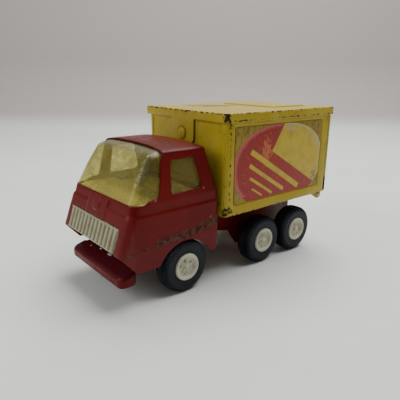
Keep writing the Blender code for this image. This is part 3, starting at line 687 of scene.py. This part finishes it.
def window_plastic():
    """Clear plastic gone yellow: see-through with a yellow tint, speckled and hazy in patches,
    with painted light and shade on its top, side panes and corner beads.
    """
    pane = Surface("window_yellowed_plastic", specular=0.6, coat=0.3, coat_rough=0.05)
    patch = pane.noise(85.0, 5.0, 0.7).ease(0.42, 0.58)
    speck = pane.noise(1100.0, 4.0, 0.75).ease(0.52, 0.66)
    scratch = pane.noise(420.0, stretch=(1.0, 0.3, 0.5), distortion=1.5).ease(0.62, 0.68)
    ends = ((0.002, along(-0.0385), 0.0945), (0.022, along(-0.037), 0.0975))
    mottle = pane.noise(620.0, 5.0, 0.8, offset=4.0) + pane.near(*ends, 0.0, 0.0065) * 0.22
    mottle = mottle.ease(0.58, 0.66)
    dirty = most([patch * speck.blend(0.25, 0.75), scratch * 0.45, speck * 0.42, mottle * 0.55])
    facing = pane.split(pane.add("NewGeometry", output="Normal"))
    # Dust and painted light: upward-facing plastic is paler and hazier, partly from dust and
    # partly standing in for the overhead light it catches.
    top = facing[2].ease(0.55, 0.85)
    # Painted shade: panes that face sideways are darker and less clear, standing in for the dim
    # view through the side windows.
    painted_shade_sideways = abs(facing[0]).ease(0.70, 0.90)
    bead, line = window_beads(pane)
    colour = dirty.mix(srgb(188, 176, 98), srgb(84, 72, 42))
    colour = top.mix(colour, srgb(128, 122, 88))
    # Painted shade and painted highlight: the corner bead is darkened for its refraction, and the
    # bright line beside it stands in for light caught there.
    colour = bead.mix(colour, srgb(112, 106, 72))
    colour = line.mix(colour, srgb(240, 232, 190))
    pane.set("Base Color", (painted_shade_sideways * 0.6).mix(colour, srgb(96, 86, 44)))
    pane.set("Roughness", dirty.blend(0.08, 0.5) + top * 0.25)
    pane.set("Normal", pane.relief((55.0, 2.0, 0.0003, 0.15)))
    rim = pane.add("LayerWeight", {"Blend": 0.35}, "Facing")
    body = dirty.blend(0.07, 0.75) + rim * 0.28 + top * 0.16 + painted_shade_sideways * 0.08
    body = pane.math("ADD", body, most([bead * 0.32, line * 0.85]), clamp=True)
    clear = pane.add("BsdfTransparent", {"Color": (0.95, 0.93, 0.72, 1.0)})
    shader = Wire(pane, pane.shader.outputs[0])
    mixed = pane.add("MixShader", {0: body, 1: clear, 2: shader})
    pane.put(pane.tree.nodes["Material Output"].inputs[0], mixed)
    return pane.material


class LabelPrint(Surface):
    """The printed side label's shapes, drawn in distance d behind the front axle and height z."""

    def __init__(self, name):
        super().__init__(name, specular=0.2, coat=0.12, coat_rough=0.12)
        self.d = self.y - FRONT_AXLE.y

    def left_of(self, start, end):
        """1 on the left of the line from start to end."""
        a, b = Vector(start), Vector(end)
        normal = Vector((-(b - a).y, (b - a).x)).normalized()
        away = self.d * normal.x + self.z * normal.y - normal.dot(a)
        return away.ease(-0.0004, 0.0004)

    def inside(self, *corners):
        """1 inside a convex outline given anticlockwise."""
        found = 1.0
        for start, end in zip(corners, corners[1:] + corners[:1]):
            found = self.left_of(start, end) * found
        return found

    def oval(self, low, high):
        """1 inside the label's oval, which has slightly squared shoulders; 1.0 is its edge."""
        along_it = abs((self.d - 0.1045) / 0.0595) ** 2.3
        up_it = abs((self.z - 0.0930) / 0.0360) ** 2.3
        return ((along_it + up_it) ** (1 / 2.3)).ease(high, low)

    def around(self, distance, z, outer, inner, squeeze=(1.0, 1.0, 1.0)):
        """1 within inner of a point of the label, 0 beyond outer."""
        flat = self.vector("MULTIPLY", self.place, (0.0, 1.0, 1.0))
        away = self.vector("SUBTRACT", flat, (0.0, along(distance), z))
        return self.length(self.vector("MULTIPLY", away, squeeze)).ease(outer, inner)

    def stripes(self):
        """Four slanting stripes, each shorter and thinner than the one above it."""
        found = []
        for start, top, end, width in (
            (0.0640, 0.1060, 0.1290, 0.0048),
            (0.0628, 0.0950, 0.1080, 0.0034),
            (0.0640, 0.0845, 0.0930, 0.0024),
            (0.0670, 0.0752, 0.0800, 0.0015),
        ):
            low = top - 0.6 * (end - start)
            rise, shift = width * 0.857, width * 0.514
            upper = ((end + shift, low + rise), (start + shift, top + rise))
            found.append(self.inside((start, top), (end, low), *upper))
        return most(found)


def label_print():
    """The side label: a big red oval field on aged yellow film, with plain slanting stripes."""
    film = LabelPrint("label_aged_print")
    streak = film.noise(420.0, 5.0, 0.7, stretch=(1.0, 1.5, 0.45))
    blotch = film.noise(95.0, 5.0, 0.65)
    ground = streak.ease(0.42, 0.62).mix(srgb(155, 130, 36), srgb(112, 88, 27))
    ground = blotch.ease(0.5, 0.7).mix(ground, srgb(130, 102, 29))
    yellow = blotch.ease(0.4, 0.7).mix(srgb(193, 166, 46), srgb(177, 146, 38))
    above = film.inside((0.0914, 0.1059), (0.1640, 0.0642), (0.1800, 0.1500), (0.1200, 0.1500))
    band = film.inside((0.0450, 0.0700), (0.0700, 0.0700), (0.1060, 0.1310), (0.0450, 0.1310))

    red = blotch.ease(0.4, 0.66).mix(srgb(152, 30, 24), srgb(138, 41, 32))
    red = (film.oval(0.91, 0.97).inverse() * band).mix(red, srgb(176, 84, 84))
    rubbed = film.around(0.0845, 0.1060, 0.0150, 0.0030, (1.0, 1.6, 0.75)) * 0.20
    smear = (film.noise(260.0, 5.0, 0.7, offset=2.0) + rubbed).ease(0.58, 0.68)
    red = (smear * 0.75).mix(red, srgb(190, 110, 56))

    drawn = film.stripes().mix(red, yellow)
    drawn = above.mix(drawn, yellow)
    arc = film.oval(0.955, 0.985).inverse() * above
    drawn = (arc * 0.7).mix(drawn, srgb(196, 186, 150))
    peel = film.oval(0.72, 0.98).inverse() * 0.16 * above
    torn = (film.noise(150.0, 6.0, 0.6, offset=6.0) + peel).ease(0.60, 0.64)
    drawn = (torn * peel.ease(0.0, 0.03) * 0.6).mix(drawn, srgb(176, 166, 118))

    colour = film.oval(0.993, 1.007).mix(ground, drawn)
    cells = {"Vector": film.place, "Scale": 230.0}
    crack = film.add("TexVoronoi", cells, "Distance", feature="DISTANCE_TO_EDGE").ease(0.0, 0.035)
    crack = crack.inverse() * film.noise(60.0, offset=9.0).ease(0.50, 0.62)
    colour = (crack * 0.22).mix(colour, srgb(96, 76, 44))
    scar = film.around(0.1535, 0.0765, 0.0085, 0.0015) * 0.18
    marks = (film.noise(520.0, 4.0, 0.7, offset=8.0) + scar).ease(0.62, 0.68)
    film.set("Base Color", (marks * 0.7).mix(colour, srgb(100, 78, 42)))
    film.set("Roughness", streak.ease(0.4, 0.7).blend(0.26, 0.48))
    film.set("Normal", film.bump(crack, 0.00006, 0.4, film.bump(streak, 0.00012, 0.5)))
    return film.material


# ---------------------------------------------------------------- wheels

TYRE_LOW, TYRE_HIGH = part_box("tyre_front_left")
HUB_LOW, HUB_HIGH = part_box("hub_front_left")
TYRE_RADIUS = (TYRE_HIGH.z - TYRE_LOW.z) / 2
RIM_RADIUS = (HUB_HIGH.z - HUB_LOW.z) / 2
WHEEL_MIDDLE = (TYRE_HIGH.x + TYRE_LOW.x) / 2
HALF_TYRE = (TYRE_HIGH.x - TYRE_LOW.x) / 2
HUB_FACE = HUB_HIGH.x - WHEEL_MIDDLE
TYRE_SHOULDER = 0.0046
TEETH = 84
STEPS_PER_TOOTH = 4
BOLT_PITS = 6


def tyre_profile():
    """(radius, outward x): rim bead, bulged sidewall, round shoulder, flat tread, and back."""
    bead = ((-0.0006, 0.0032), (0.0003, 0.0005), (0.0009, 0.0001), (0.0016, 0.0003))
    bead += ((0.0034, 0.0001),)
    points = [(RIM_RADIUS + rise, HALF_TYRE - sunk) for rise, sunk in bead]
    radius, out = TYRE_RADIUS - TYRE_SHOULDER, HALF_TYRE - TYRE_SHOULDER
    wall = arc(radius, out, TYRE_SHOULDER, math.pi / 2, -math.pi / 2, 10)
    back = [(radius, -out) for radius, out in reversed(wall)]
    points += wall + [(TYRE_RADIUS, 0.0013), (TYRE_RADIUS, -0.0013)] + back
    return points + [(RIM_RADIUS - 0.0006, -HALF_TYRE + 0.0002)]


def tread_cut(radius, out, angle):
    """Fine notches across the tread and over both shoulders, with a plain band in the middle."""
    tooth = 0.5 - 0.5 * math.cos(angle * TEETH)
    on_tread = min(1.0, max(0.0, (radius - (TYRE_RADIUS - 0.0042)) / 0.0016))
    off_middle = min(1.0, max(0.0, (abs(out) - 0.0012) / 0.0006))
    return radius - 0.0008 * tooth * on_tread * off_middle, out


def hub_profile():
    """(radius, outward x): centre cap, sunk web, raised outer ring and the barrel behind it."""
    cap = [(0.0, 0.0011), (0.0011, 0.0011), (0.0018, 0.0012), (0.0022, 0.0015)]
    cap += [(0.0025, 0.0020), (0.0030, 0.0022)]
    web = [(0.0034 + step * 0.00052, 0.0025 + 0.0002 * step / 8) for step in range(9)]
    lip = [(0.0080, 0.0027), (0.0083, 0.0020), (0.0086, 0.0011), (0.0092, 0.0004)]
    lip += [(0.0097, 0.0001), (0.0101, 0.0), (0.0105, 0.0001), (0.0109, 0.0004)]
    barrel = RIM_RADIUS - 0.0011
    lip += [(RIM_RADIUS, 0.0010), (RIM_RADIUS, 0.0040), (barrel, 0.0046)]
    points = [(radius, HUB_FACE - sunk) for radius, sunk in cap + web + lip]
    return points + [(barrel, -HALF_TYRE), (0.0019, -HALF_TYRE), (0.0019, -0.0010), (0.0, -0.0010)]


def dimples(radius, out, angle):
    """Shallow oval pits in the web round the cap."""
    if out < 0:
        return radius, out
    pitch = 2 * math.pi / BOLT_PITS
    turn = (angle / pitch) % 1.0 - 0.5
    reach = math.hypot(turn * pitch * radius / 0.0017, (radius - 0.0055) / 0.0016)
    pit = 0.5 + 0.5 * math.cos(math.pi * min(1.0, reach))
    return radius, out - 0.0011 * pit


def build_wheels():
    rubber, cream = tyre_rubber(), hub_plastic()
    steel = bare_steel("axle_bare_steel", srgb(168, 164, 156))
    turned = 0.4
    for name, body in WHEEL_BODIES.items():
        middle = centre_of("axle_" + name)
        nodes["axle_" + name].data.materials[0] = steel
        for side_name, side in (("left", 1), ("right", -1)):
            label = name + "_" + side_name
            sides = TEETH * STEPS_PER_TOOTH
            tyre = lathe_x("tyre_detail_" + label, tyre_profile(), sides, side, tread_cut, True)
            hub = lathe_x("hub_detail_" + label, hub_profile(), 96, side, dimples)
            turned += 0.83
            for piece in (tyre, hub):
                piece.data.transform(Matrix.Rotation(turned, 4, "X"))
                piece.location = (side * WHEEL_MIDDLE, middle.y, middle.z)
                shade(piece, 50)
            finish_piece(tyre, body, rubber, ["tyre_" + label])
            finish_piece(hub, body, cream, ["hub_" + label])


# ---------------------------------------------------------------- cab


def front_at(z):
    return FRONT_AT_SILL - FRONT_SLOPE * (SILL_Z - z)


def arch(x, z):
    """How far the cab's top is bowed up across its width."""
    share = min(1.0, max(0.0, (z - 0.1000) / 0.0136))
    across = max(0.0, 1 - (x / ROOF_HALF_WIDTH) ** 2)
    return ROOF_ARCH * share * share * (3 - 2 * share) * across


def ring(half_width, front, rear, z, front_radius, rear_radius):
    """One level of the cab as points round it, close enough together to follow the arch."""
    steps, parts = 8, 12
    radii = [front_radius, rear_radius, rear_radius, front_radius]
    outline = rounded(mirrored_corners(half_width, front, rear), radii, steps)
    points = []
    for index, (x, y) in enumerate(outline):
        points.append((x, y))
        if index % (steps + 1) == steps:
            next_x, next_y = outline[(index + 1) % len(outline)]
            for part in range(1, parts):
                share = part / parts
                points.append((x + (next_x - x) * share, y + (next_y - y) * share))
    return [(x, along(y), z + arch(x, z)) for x, y in points]


def upper_cab(share):
    """(half width, front, rear, z) at a share of the way from the window sill to the roof."""
    front, rear = FRONT_AT_SILL + BELT_STEP, CAB_REAR - 0.0005
    half = SILL_HALF_WIDTH - share * (SILL_HALF_WIDTH - ROOF_HALF_WIDTH)
    front += share * (GLASS_TOP_FRONT - front)
    rear -= share * (rear - ROOF_REAR)
    return half, front, rear, SILL_Z + share * (ROOF_Z - SILL_Z)


def cab_levels(inset):
    """(half width, front, rear, z, front radius, rear radius) at each level of the cab."""
    levels = []
    for z, half, step, radius in (
        (CAB_BOTTOM, CAB_HALF_WIDTH, 0, 0.0055),
        (0.0460, CAB_HALF_WIDTH + 0.0006, 0, 0.0055),
        (0.0600, CAB_HALF_WIDTH + 0.0005, 0, 0.0063),
        (BELT_Z - 0.0010, CAB_HALF_WIDTH, 0, 0.0070),
        (BELT_Z + 0.0004, CAB_HALF_WIDTH - BELT_STEP * 1.4, BELT_STEP * 1.4, 0.0072),
        (SILL_Z, SILL_HALF_WIDTH, BELT_STEP, 0.0075),
    ):
        levels.append((half, front_at(z) + step, CAB_REAR, z, radius, 0.0032))
    for share in (0.35, 0.70, 0.93):
        levels.append((*upper_cab(share), 0.0075, 0.0036))
    crown = ((0.0, 0.0, 0.0), (0.0008, 0.0003, 0.0003), (0.0014, 0.0010, 0.0008))
    crown += ((0.0018, 0.0022, 0.0018), (0.0022, 0.0045, 0.0034), (0.0027, 0.0095, 0.0060))
    crown += ((0.0032, 0.0170, 0.0095), (0.0036, 0.0260, 0.0135), (0.0037, 0.0330, 0.0165))
    for lift, shrink, shorten in crown:
        front = GLASS_TOP_FRONT + 0.0016 + shorten
        half = ROOF_HALF_WIDTH - shrink
        levels.append((half, front, ROOF_REAR - shorten, ROOF_Z + lift, 0.0060, 0.0036))
    made = []
    for half, front, rear, z, front_radius, rear_radius in levels:
        top = z - inset if z > ROOF_Z - 0.004 else z
        radii = (front_radius - inset * 0.7, rear_radius - inset * 0.7)
        made.append((half - inset, front + inset, rear - inset, top, *radii))
    return made


def cab_loft(name, levels, dropped=0.0):
    """The solid through levels of the cab, its lowest one dropped to open what it cuts."""
    half, front, rear, z, *radii = levels[0]
    lowest = (half, front, rear, z - dropped, *radii)
    return loft(name, [ring(*level) for level in [lowest, *levels[1:]]])


def side_cuts():
    """What is cut through the cab from side to side: windscreen, side windows and chin."""
    clear, high = -0.0800, 0.1300
    screen = [(clear, SILL_Z), (-0.0370, SILL_Z), (-0.0315, SILL_Z + 0.0024)]
    screen += [(-0.0236, SILL_Z + 0.0038), (ROOF_FRONT - 0.0016, ROOF_Z - 0.0020)]
    screen += [(ROOF_FRONT, ROOF_Z + 0.0010), (ROOF_FRONT, high), (clear, high)]
    window = [(-0.0122, 0.0834), (0.0174, 0.0846), (0.0112, 0.1086), (-0.0102, 0.1082)]
    chin = [(clear, 0.0200), (-0.0447, 0.0200), (-0.0447, CAB_BOTTOM - 0.0001)]
    chin += [(front_at(0.0446) - 0.0001, 0.0446), (clear, 0.0446)]
    outlines = [
        rounded(shifted(screen), [0, 0.003, 0.003, 0.0022, 0, 0, 0, 0]),
        rounded(shifted(window), [0.0012, 0.0035, 0.0025, 0.0018]),
        shifted(chin),
    ]
    return [prism("side_cut", outline, "X", -0.07, 0.07) for outline in outlines]


def on_front_face(obj):
    """Leans a piece that was built upright at y = 0, z = 0 back onto the cab's sloping front."""
    turn = Matrix.Rotation(-math.atan(FRONT_SLOPE), 4, "X")
    place = Matrix.Translation((0, along(FRONT_AT_SILL), SILL_Z))
    obj.data.transform(place @ turn)
    return obj


def down_the_front(z):
    return -(SILL_Z - z) / math.cos(math.atan(FRONT_SLOPE))


def nose_panel():
    """The raised panel up the middle of the cab's front."""
    low, high = down_the_front(GRILLE_TOP + 0.0012), -0.0006
    panel = rounded([(-0.0148, low), (0.0148, low), (0.0158, high), (-0.0158, high)], 0.001)
    wide = [(x * 1.04, z) for x, z in panel]
    return on_front_face(prism("pad", wide, "Y", -0.0006, 0.0008, panel))


def nose_boss():
    middle = down_the_front(0.0727)
    disc, face = circle(0.0056, 0, middle, 40), circle(0.0052, 0, middle, 40)
    return on_front_face(prism("boss", disc, "Y", -0.0015, 0.0008, face))


def build_cab():
    shell = cab_loft("cab_detail", cab_levels(0))
    combine(shell, [nose_panel(), nose_boss()], "UNION")
    screen, windows, chin = side_cuts()
    rear = rounded(rectangle(-0.0330, 0.0330, 0.0860, 0.1065), 0.004)
    hole_half = GRILLE_HALF_WIDTH + 0.0005
    top = down_the_front(GRILLE_TOP) + 0.0005
    hole = rectangle(-hole_half, hole_half, down_the_front(0.0400), top)
    notch = rectangle(-DECK_HALF_WIDTH, DECK_HALF_WIDTH, 0.0200, 0.0599)
    cuts = [
        cab_loft("hollow", cab_levels(SHEET), 0.004),
        screen,
        windows,
        prism("rear_window_cut", rear, "Y", along(0.016), along(0.045)),
        rod("arch_cut", ARCH_RADIUS, along(0), ARCH_Z, 0.07, 72),
        chin,
        on_front_face(prism("grille_hole", hole, "Y", -0.004, 0.006)),
        prism("chassis_notch", notch, "Y", along(0.018), along(0.040)),
    ]
    combine(shell, cuts)
    soften(shell, 0.0005, 5, 0.30)
    shade(shell)
    finish_piece(shell, BODY, cab_paint(), ["cab_shell"])


def glass_front(share):
    """Distance of the windscreen's bulging face at a share of the way up from the sill."""
    return upper_cab(share)[1] - GLASS_BULGE * math.sin(math.pi * share)


def window_levels(inside, front_inset):
    """Levels of the glazing, as cab_levels() gives them: its panes, then its domed top."""
    levels = []
    for share in (0.015, 0.06, 0.15, 0.25, 0.36, 0.48, 0.60, 0.72, 0.82, 0.90):
        half, _, rear, z = upper_cab(share)
        front = glass_front(share) + front_inset
        levels.append((half - inside, front, rear - inside, z, 0.0070 - front_inset, 0.0035))
    half, front, rear, z = levels[-1][:4]
    crown = ((0.0012, 0.0006, 0.0011), (0.0022, 0.0014, 0.0023), (0.0031, 0.0026, 0.0040))
    crown += ((0.0038, 0.0041, 0.0062), (0.0042, 0.0053, 0.0080), (0.0044, 0.0064, 0.0100))
    crown += ((0.0045, 0.0120, 0.0160), (0.0046, 0.0180, 0.0220))
    for lift, shrink, back in crown:
        top = z + lift - front_inset * 0.6
        levels.append((half - shrink, front + back, rear - shrink, top, 0.006, 0.003))
    return levels


def windscreen_tab():
    """The raised moulded strip at the middle of the windscreen's lower edge."""
    low, high = SILL_Z + 0.0008, SILL_Z + 0.0034
    foot, head = (glass_front((z - SILL_Z) / (ROOF_Z - SILL_Z)) for z in (low, high))
    outline = [(foot - 0.0006, low), (head - 0.0006, high)]
    outline += [(head + 0.0005, high), (foot + 0.0005, low)]
    return prism("windscreen_tab", shifted(outline), "X", -0.0142, 0.0142)


def build_window():
    inside, thickness = SHEET + 0.0004, 0.0010
    shell = cab_loft("window_detail", window_levels(inside, 0.0))
    combine(shell, [windscreen_tab()], "UNION")
    combine(shell, [cab_loft("hollow", window_levels(inside + thickness, thickness), 0.003)])
    bevel(shell, 0.0003, 2, 60)
    shade(shell, 45)
    finish_piece(shell, BODY, window_plastic(), ["window_insert"])


def build_grille():
    """A moulded grille: rounded vertical ribs on a backing, between two thin bars."""
    low, high = down_the_front(GRILLE_BOTTOM), down_the_front(GRILLE_TOP)
    half, face, back, ribs = GRILLE_HALF_WIDTH, 0.0008, 0.0016, 13
    pitch = 2 * half / ribs
    comb = [(-half, back), (-half, face)]
    for index in range(ribs):
        middle = -half + (index + 0.5) * pitch
        for step in range(9):
            angle = math.pi * step / 8
            across = -0.37 * pitch * math.cos(angle)
            comb.append((middle + across, face - 0.0021 * math.sin(angle) ** 0.7))
    comb += [(half, face), (half, back)]
    piece = prism("grille_detail", comb, "Z", low + 0.0002, high - 0.0002)
    bars = []
    for bottom, top in ((high - 0.0011, high + 0.0002), (low - 0.0002, low + 0.0009)):
        bar = rounded(rectangle(-half - 0.0002, half + 0.0002, bottom, top), 0.0004, 3)
        bars.append(prism("bar", bar, "Y", -0.0007, 0.00145))
    combine(piece, bars, "UNION")
    on_front_face(piece)
    bevel(piece, 0.00022, 2, 50)
    shade(piece, 40)
    finish_piece(piece, BODY, grille_plastic(), ["front_grille"])


# ---------------------------------------------------------------- chassis


def bumper_outline(inset):
    front = CHASSIS_LOW.y + inset
    back = CHASSIS_LOW.y + BUMPER_DEPTH - inset
    radii = [0.0062 - inset, 0.0048 - inset, 0.0048 - inset, 0.0062 - inset]
    return rounded(mirrored_corners(CHASSIS_HIGH.x - inset, front, back), radii, 10)


def build_bumper(paint):
    """The hollow bumper bar with rolled edges, and the tongue behind it, both sloping up."""
    sheet = 0.0012
    bar = prism("bumper_detail", bumper_outline(0), "Z", BUMPER_BOTTOM, BUMPER_TOP)
    bevel(bar, 0.0034, 7, 60)
    under = bumper_outline(sheet)
    combine(bar, [prism("under", under, "Z", BUMPER_BOTTOM - 0.002, BUMPER_TOP - sheet)])
    tongue = rectangle(-0.0380, 0.0380, CHASSIS_LOW.y + 0.006, along(-0.0308))
    top = BUMPER_TOP - 0.0002
    combine(bar, [prism("tongue", rounded(tongue, 0.003), "Z", top - sheet, top)], "UNION")
    for vertex in bar.data.vertices:
        share = max(0.0, (vertex.co.z - BUMPER_BOTTOM) / (BUMPER_TOP - BUMPER_BOTTOM))
        vertex.co.z += share * BUMPER_SLOPE * (vertex.co.y - BUMPER_MIDDLE)
    shade(bar, 50)
    finish_piece(bar, BODY, paint, ["chassis_frame"])


CHASSIS_REAR = 0.1540


def chassis_top(inset, foot):
    """The channel's side view from its front foot, up the ramp, to the start of its deck."""
    deck = CHASSIS_HIGH.z - inset
    ramp = 0.0440 - inset
    front = [(-0.0390 + inset, foot), (-0.0375 + inset, ramp)]
    return front + [(-0.0140 + inset, ramp), (-0.0100 + inset, deck)]


def build_chassis(paint):
    """The channel: a raised deck, a front ramp, and deep plates at the axles."""
    sheet, half, foot, mouth = 0.0009, 0.0262, 0.0268, 0.005
    deck = CHASSIS_HIGH.z
    under = [(CHASSIS_REAR, deck), (CHASSIS_REAR, 0.0380), (0.1500, 0.0150), (0.0775, 0.0150)]
    under += [(0.0670, 0.0303), (0.0548, 0.0328), (0.0120, 0.0328), (0.0080, 0.0160)]
    under += [(-0.0080, 0.0160), (-0.0200, foot)]
    sides = rounded(shifted(chassis_top(0, foot) + under), 0.0018, 3)
    rails = prism("chassis_detail", sides, "X", -half, half)
    open_rear = CHASSIS_REAR + 0.01
    inside = chassis_top(sheet, mouth) + [(open_rear, deck - sheet), (open_rear, mouth)]
    cuts = [prism("hollow", shifted(inside), "X", -half + sheet, half - sheet)]
    for name in WHEEL_BODIES:
        axle = centre_of("axle_" + name)
        cuts.append(rod("hole", 0.0019, axle.y, axle.z, 0.04, 32))
    combine(rails, cuts)
    bevel(rails, 0.00028, 2, 50)
    shade(rails, 40)
    finish_piece(rails, BODY, paint, ["chassis_frame"])


# ---------------------------------------------------------------- cargo box


def box_plan(inset, rear):
    radius = max(BOX_CORNER - inset, 0.001)
    corners = mirrored_corners(BOX_HIGH.x - inset, BOX_LOW.y + inset, rear)
    return rounded(corners, [radius, 0, 0, radius], 10)


def hinge_ear(side):
    """A lug under the box's side, ramped in front and round below the pin."""
    top, ramp = BOX_FLOOR_Z + 0.0005, 0.1560
    outline = [(HINGE_Y + 0.0030, top), (ramp, top), (ramp, BOX_BOTTOM - 0.0006)]
    outline += arc(HINGE_Y, HINGE_Z, 0.0045, math.radians(-130), math.radians(150), 12)
    low, high = sorted((side * 0.0506, side * 0.0518))
    return prism("ear", shifted(outline), "X", low, high)


def build_box():
    """Folded walls with soft-edged pressed panels, a floor and the two hinge ears."""
    front, rear = BOX_LOW.y, BOX_HIGH.y
    body = prism("box_detail", box_plan(0, rear), "Z", BOX_BOTTOM, BOX_HIGH.z)
    cuts = []
    for side in (-1, 1):
        panel = rounded(rectangle(along(0.0454), along(0.1622), 0.0645, 0.1298), 0.0020, 5)
        deep, outside = side * (BOX_HIGH.x - RECESS), side * (BOX_HIGH.x + 0.0010)
        cuts.append(prism("side_recess", widened(panel, 0.0010), "X", deep, outside, panel))
        low, high = sorted((side * 0.0182, side * 0.0480))
        panel = rounded(rectangle(low, high, 0.0660, 0.1318), 0.0020, 5)
        deep, outside = front + RECESS, front - 0.001
        cuts.append(prism("front_recess", widened(panel, 0.0010), "Y", deep, outside, panel))
    combine(body, cuts)
    bevel(body, 0.00045, 3, 30)
    inner = box_plan(BOX_WALL, rear + 0.01)
    notch = rectangle(-DECK_HALF_WIDTH, DECK_HALF_WIDTH, 0.0500, BOX_FLOOR_Z)
    cuts = [
        prism("inside", inner, "Z", BOX_FLOOR_Z + 0.0009, 0.160),
        prism("underside", inner, "Z", 0.050, BOX_FLOOR_Z),
        prism("deck_notch", notch, "Y", along(0.030), along(0.045)),
    ]
    combine(body, cuts)
    combine(body, [hinge_ear(side) for side in (-1, 1)], "UNION")
    combine(body, [rod("ear_hole", 0.0013, along(HINGE_Y), HINGE_Z, 0.06, 24)])
    shade(body, 35)
    finish_piece(body, BODY, box_paint(), ["box_body"])


def roof_plan(inset):
    low, high = ROOF_LOW, ROOF_HIGH
    corners = [(high.x - inset, low.y + inset), (high.x - inset, high.y - inset)]
    corners += [(low.x + inset, high.y - inset), (low.x + inset, low.y + inset)]
    return rounded(corners, max(0.0034 - inset, 0.0004))


def build_roof(paint):
    """The lid: a rolled lip with a soft top edge, a shallow raised panel and the front tab."""
    sheet, edge, front = 0.0011, 0.0013, ROOF_LOW.y
    profile = [(0.0004, LIP_LOW), (0.0001, LIP_LOW + 0.0003), (0.0, LIP_LOW + 0.0008)]
    profile += arc(edge, LIP_TOP - edge, edge, math.pi, -math.pi / 2, 6)
    rings = [[(x, y, z) for x, y in roof_plan(inset)] for inset, z in profile]
    roof = loft("roof_detail", rings)
    raised = rounded(rectangle(-0.0345, 0.0345, along(0.113), along(0.160)), 0.004)
    low = LIP_TOP - 0.0006
    panel = prism("panel", raised, "Z", low, ROOF_HIGH.z, widened(raised, 0.0006))
    combine(roof, [panel], "UNION")
    bevel(roof, 0.00035, 3, 25)
    combine(roof, [prism("hollow", roof_plan(sheet), "Z", 0.120, LIP_TOP - 0.0010)])
    tab = mirrored_corners(0.0151, 0.1120, LIP_LOW + 0.003)
    outline = rounded(tab, [0.006, 0, 0, 0.006], 10)
    hanging = prism("tab", outline, "Y", front + 0.00005, front + sheet)
    bevel(hanging, 0.0003, 2, 50)
    combine(roof, [hanging], "UNION")
    shade(roof, 35)
    finish_piece(roof, BODY, paint, ["box_roof"])


def build_tab_rivet(paint):
    """The large domed rivet through the roof's tab, turned about Y."""
    head, sunk, tall = 0.0052, 0.0004, 0.0020
    dome = [(0.0, sunk - tall)]
    for step in range(1, 9):
        angle = math.pi / 2 * step / 8
        dome.append((head * math.sin(angle), sunk - tall * math.cos(angle)))
    dome += [(0.0016, sunk), (0.0016, 0.0040), (0.0026, 0.0040), (0.0020, 0.0049), (0.0, 0.0050)]
    rivet = lathe_x("tab_rivet_detail", dome, 48, 1)
    rivet.data.transform(Matrix.Rotation(math.pi / 2, 4, "Z"))
    rivet.data.transform(Matrix.Translation((0, ROOF_LOW.y - 0.0003, STUD_Z)))
    shade(rivet, 50)
    finish_piece(rivet, BODY, paint, ["roof_tab_rivet"])


def carried_nodes():
    """New materials for the CAD nodes that keep their own shape."""
    label = label_print()
    for side in ("left", "right"):
        nodes["side_label_" + side].data.materials[0] = label
    nodes["rear_door"].data.materials[0] = door_paint()
    nodes["cab_interior"].data.materials[0] = interior_plastic()
    rivet = bare_steel("rivet_bare_steel", srgb(150, 144, 134))
    for name in nodes:
        if name.startswith(("cab_rivet", "box_rivet", "door_pin")):
            nodes[name].data.materials[0] = rivet


# ---------------------------------------------------------------- room, light and camera


def build_stage():
    """A plain pale floor that curves up behind the truck into a wall tinted darker as painted
    shade.
    """
    back = Vector((-0.766, 0.643, 0.0))
    across = Vector((0.643, 0.766, 0.0))
    flat, radius, bend = 0.84, 0.22, 24
    profile = [(-2.2, 0.0), *arc(flat, radius, radius, -math.pi / 2, math.pi / 2, bend)]
    profile.append((flat + radius, 2.2))
    verts, faces = [], []
    for distance, height in profile:
        for side in (-2.6, 2.6):
            point = back * distance + across * side
            verts.append((point.x, point.y, height))
    for low in range(0, 2 * len(profile) - 2, 2):
        faces.append((low, low + 1, low + 3, low + 2))
    floor = new_object("studio_floor", mesh_from("studio_floor", verts, faces))
    floor.data.shade_smooth()
    surface = Surface("studio_paper", roughness=0.8, specular=0.1)
    paper = surface.noise(5.0).ease(0.35, 0.7).mix(srgb(229, 232, 229), srgb(233, 236, 233))
    # Painted shade: the paper is tinted greyer as it rises into the wall.
    surface.set("Base Color", surface.z.ease(0.0, 0.055).mix(paper, srgb(185, 178, 174)))
    floor.data.materials.append(surface.material)


def area_light(name, place, size, power):
    """A soft rectangle of light, aimed at the middle of the floor."""
    light = bpy.data.lights.new(name, "AREA")
    light.shape = "RECTANGLE"
    light.size, light.size_y = size
    light.energy = power
    light.color = (1.0, 1.0, 0.98)
    obj = new_object(name, light)
    obj.location = place
    obj.rotation_euler = (-Vector(place)).to_track_quat("-Z", "Y").to_euler()


def build_light():
    world = bpy.data.worlds.new("studio")
    world.use_nodes = True
    shade_node = world.node_tree.nodes["Background"]
    shade_node.inputs["Color"].default_value = (0.93, 0.96, 1.0, 1.0)
    shade_node.inputs["Strength"].default_value = 0.16
    bpy.context.scene.world = world
    area_light("back", (-0.05, 0.50, 1.30), (1.4, 1.0), 28.5)
    area_light("front", (-0.42, -1.10, 0.72), (0.8, 0.8), 7.6)


def build_camera():
    azimuth, elevation, roll = math.radians(50.03), math.radians(16.62), math.radians(-0.44)
    target, distance = Vector((0.0, -0.00375, 0.0557)), 0.3950
    out = Vector((math.sin(azimuth), -math.cos(azimuth), 0.0)) * math.cos(elevation)
    out.z = math.sin(elevation)
    camera = bpy.data.cameras.new("camera")
    camera.sensor_width = 36.0
    camera.lens = 37.65
    camera.clip_start = 0.01
    obj = new_object("camera", camera)
    obj.rotation_mode = "QUATERNION"
    obj.location = target + out * distance
    turned = Matrix.Rotation(roll, 3, -out)
    facing = (-out).to_track_quat("-Z", "Y")
    obj.rotation_quaternion = turned.to_quaternion() @ facing
    bpy.context.scene.camera = obj


def build_truck():
    build_wheels()
    build_cab()
    build_window()
    build_grille()
    red = chassis_paint()
    build_bumper(red)
    build_chassis(red)
    build_box()
    yellow = roof_paint()
    build_roof(yellow)
    build_tab_rivet(yellow)
    carried_nodes()


build_stage()
build_light()
build_camera()
build_truck()
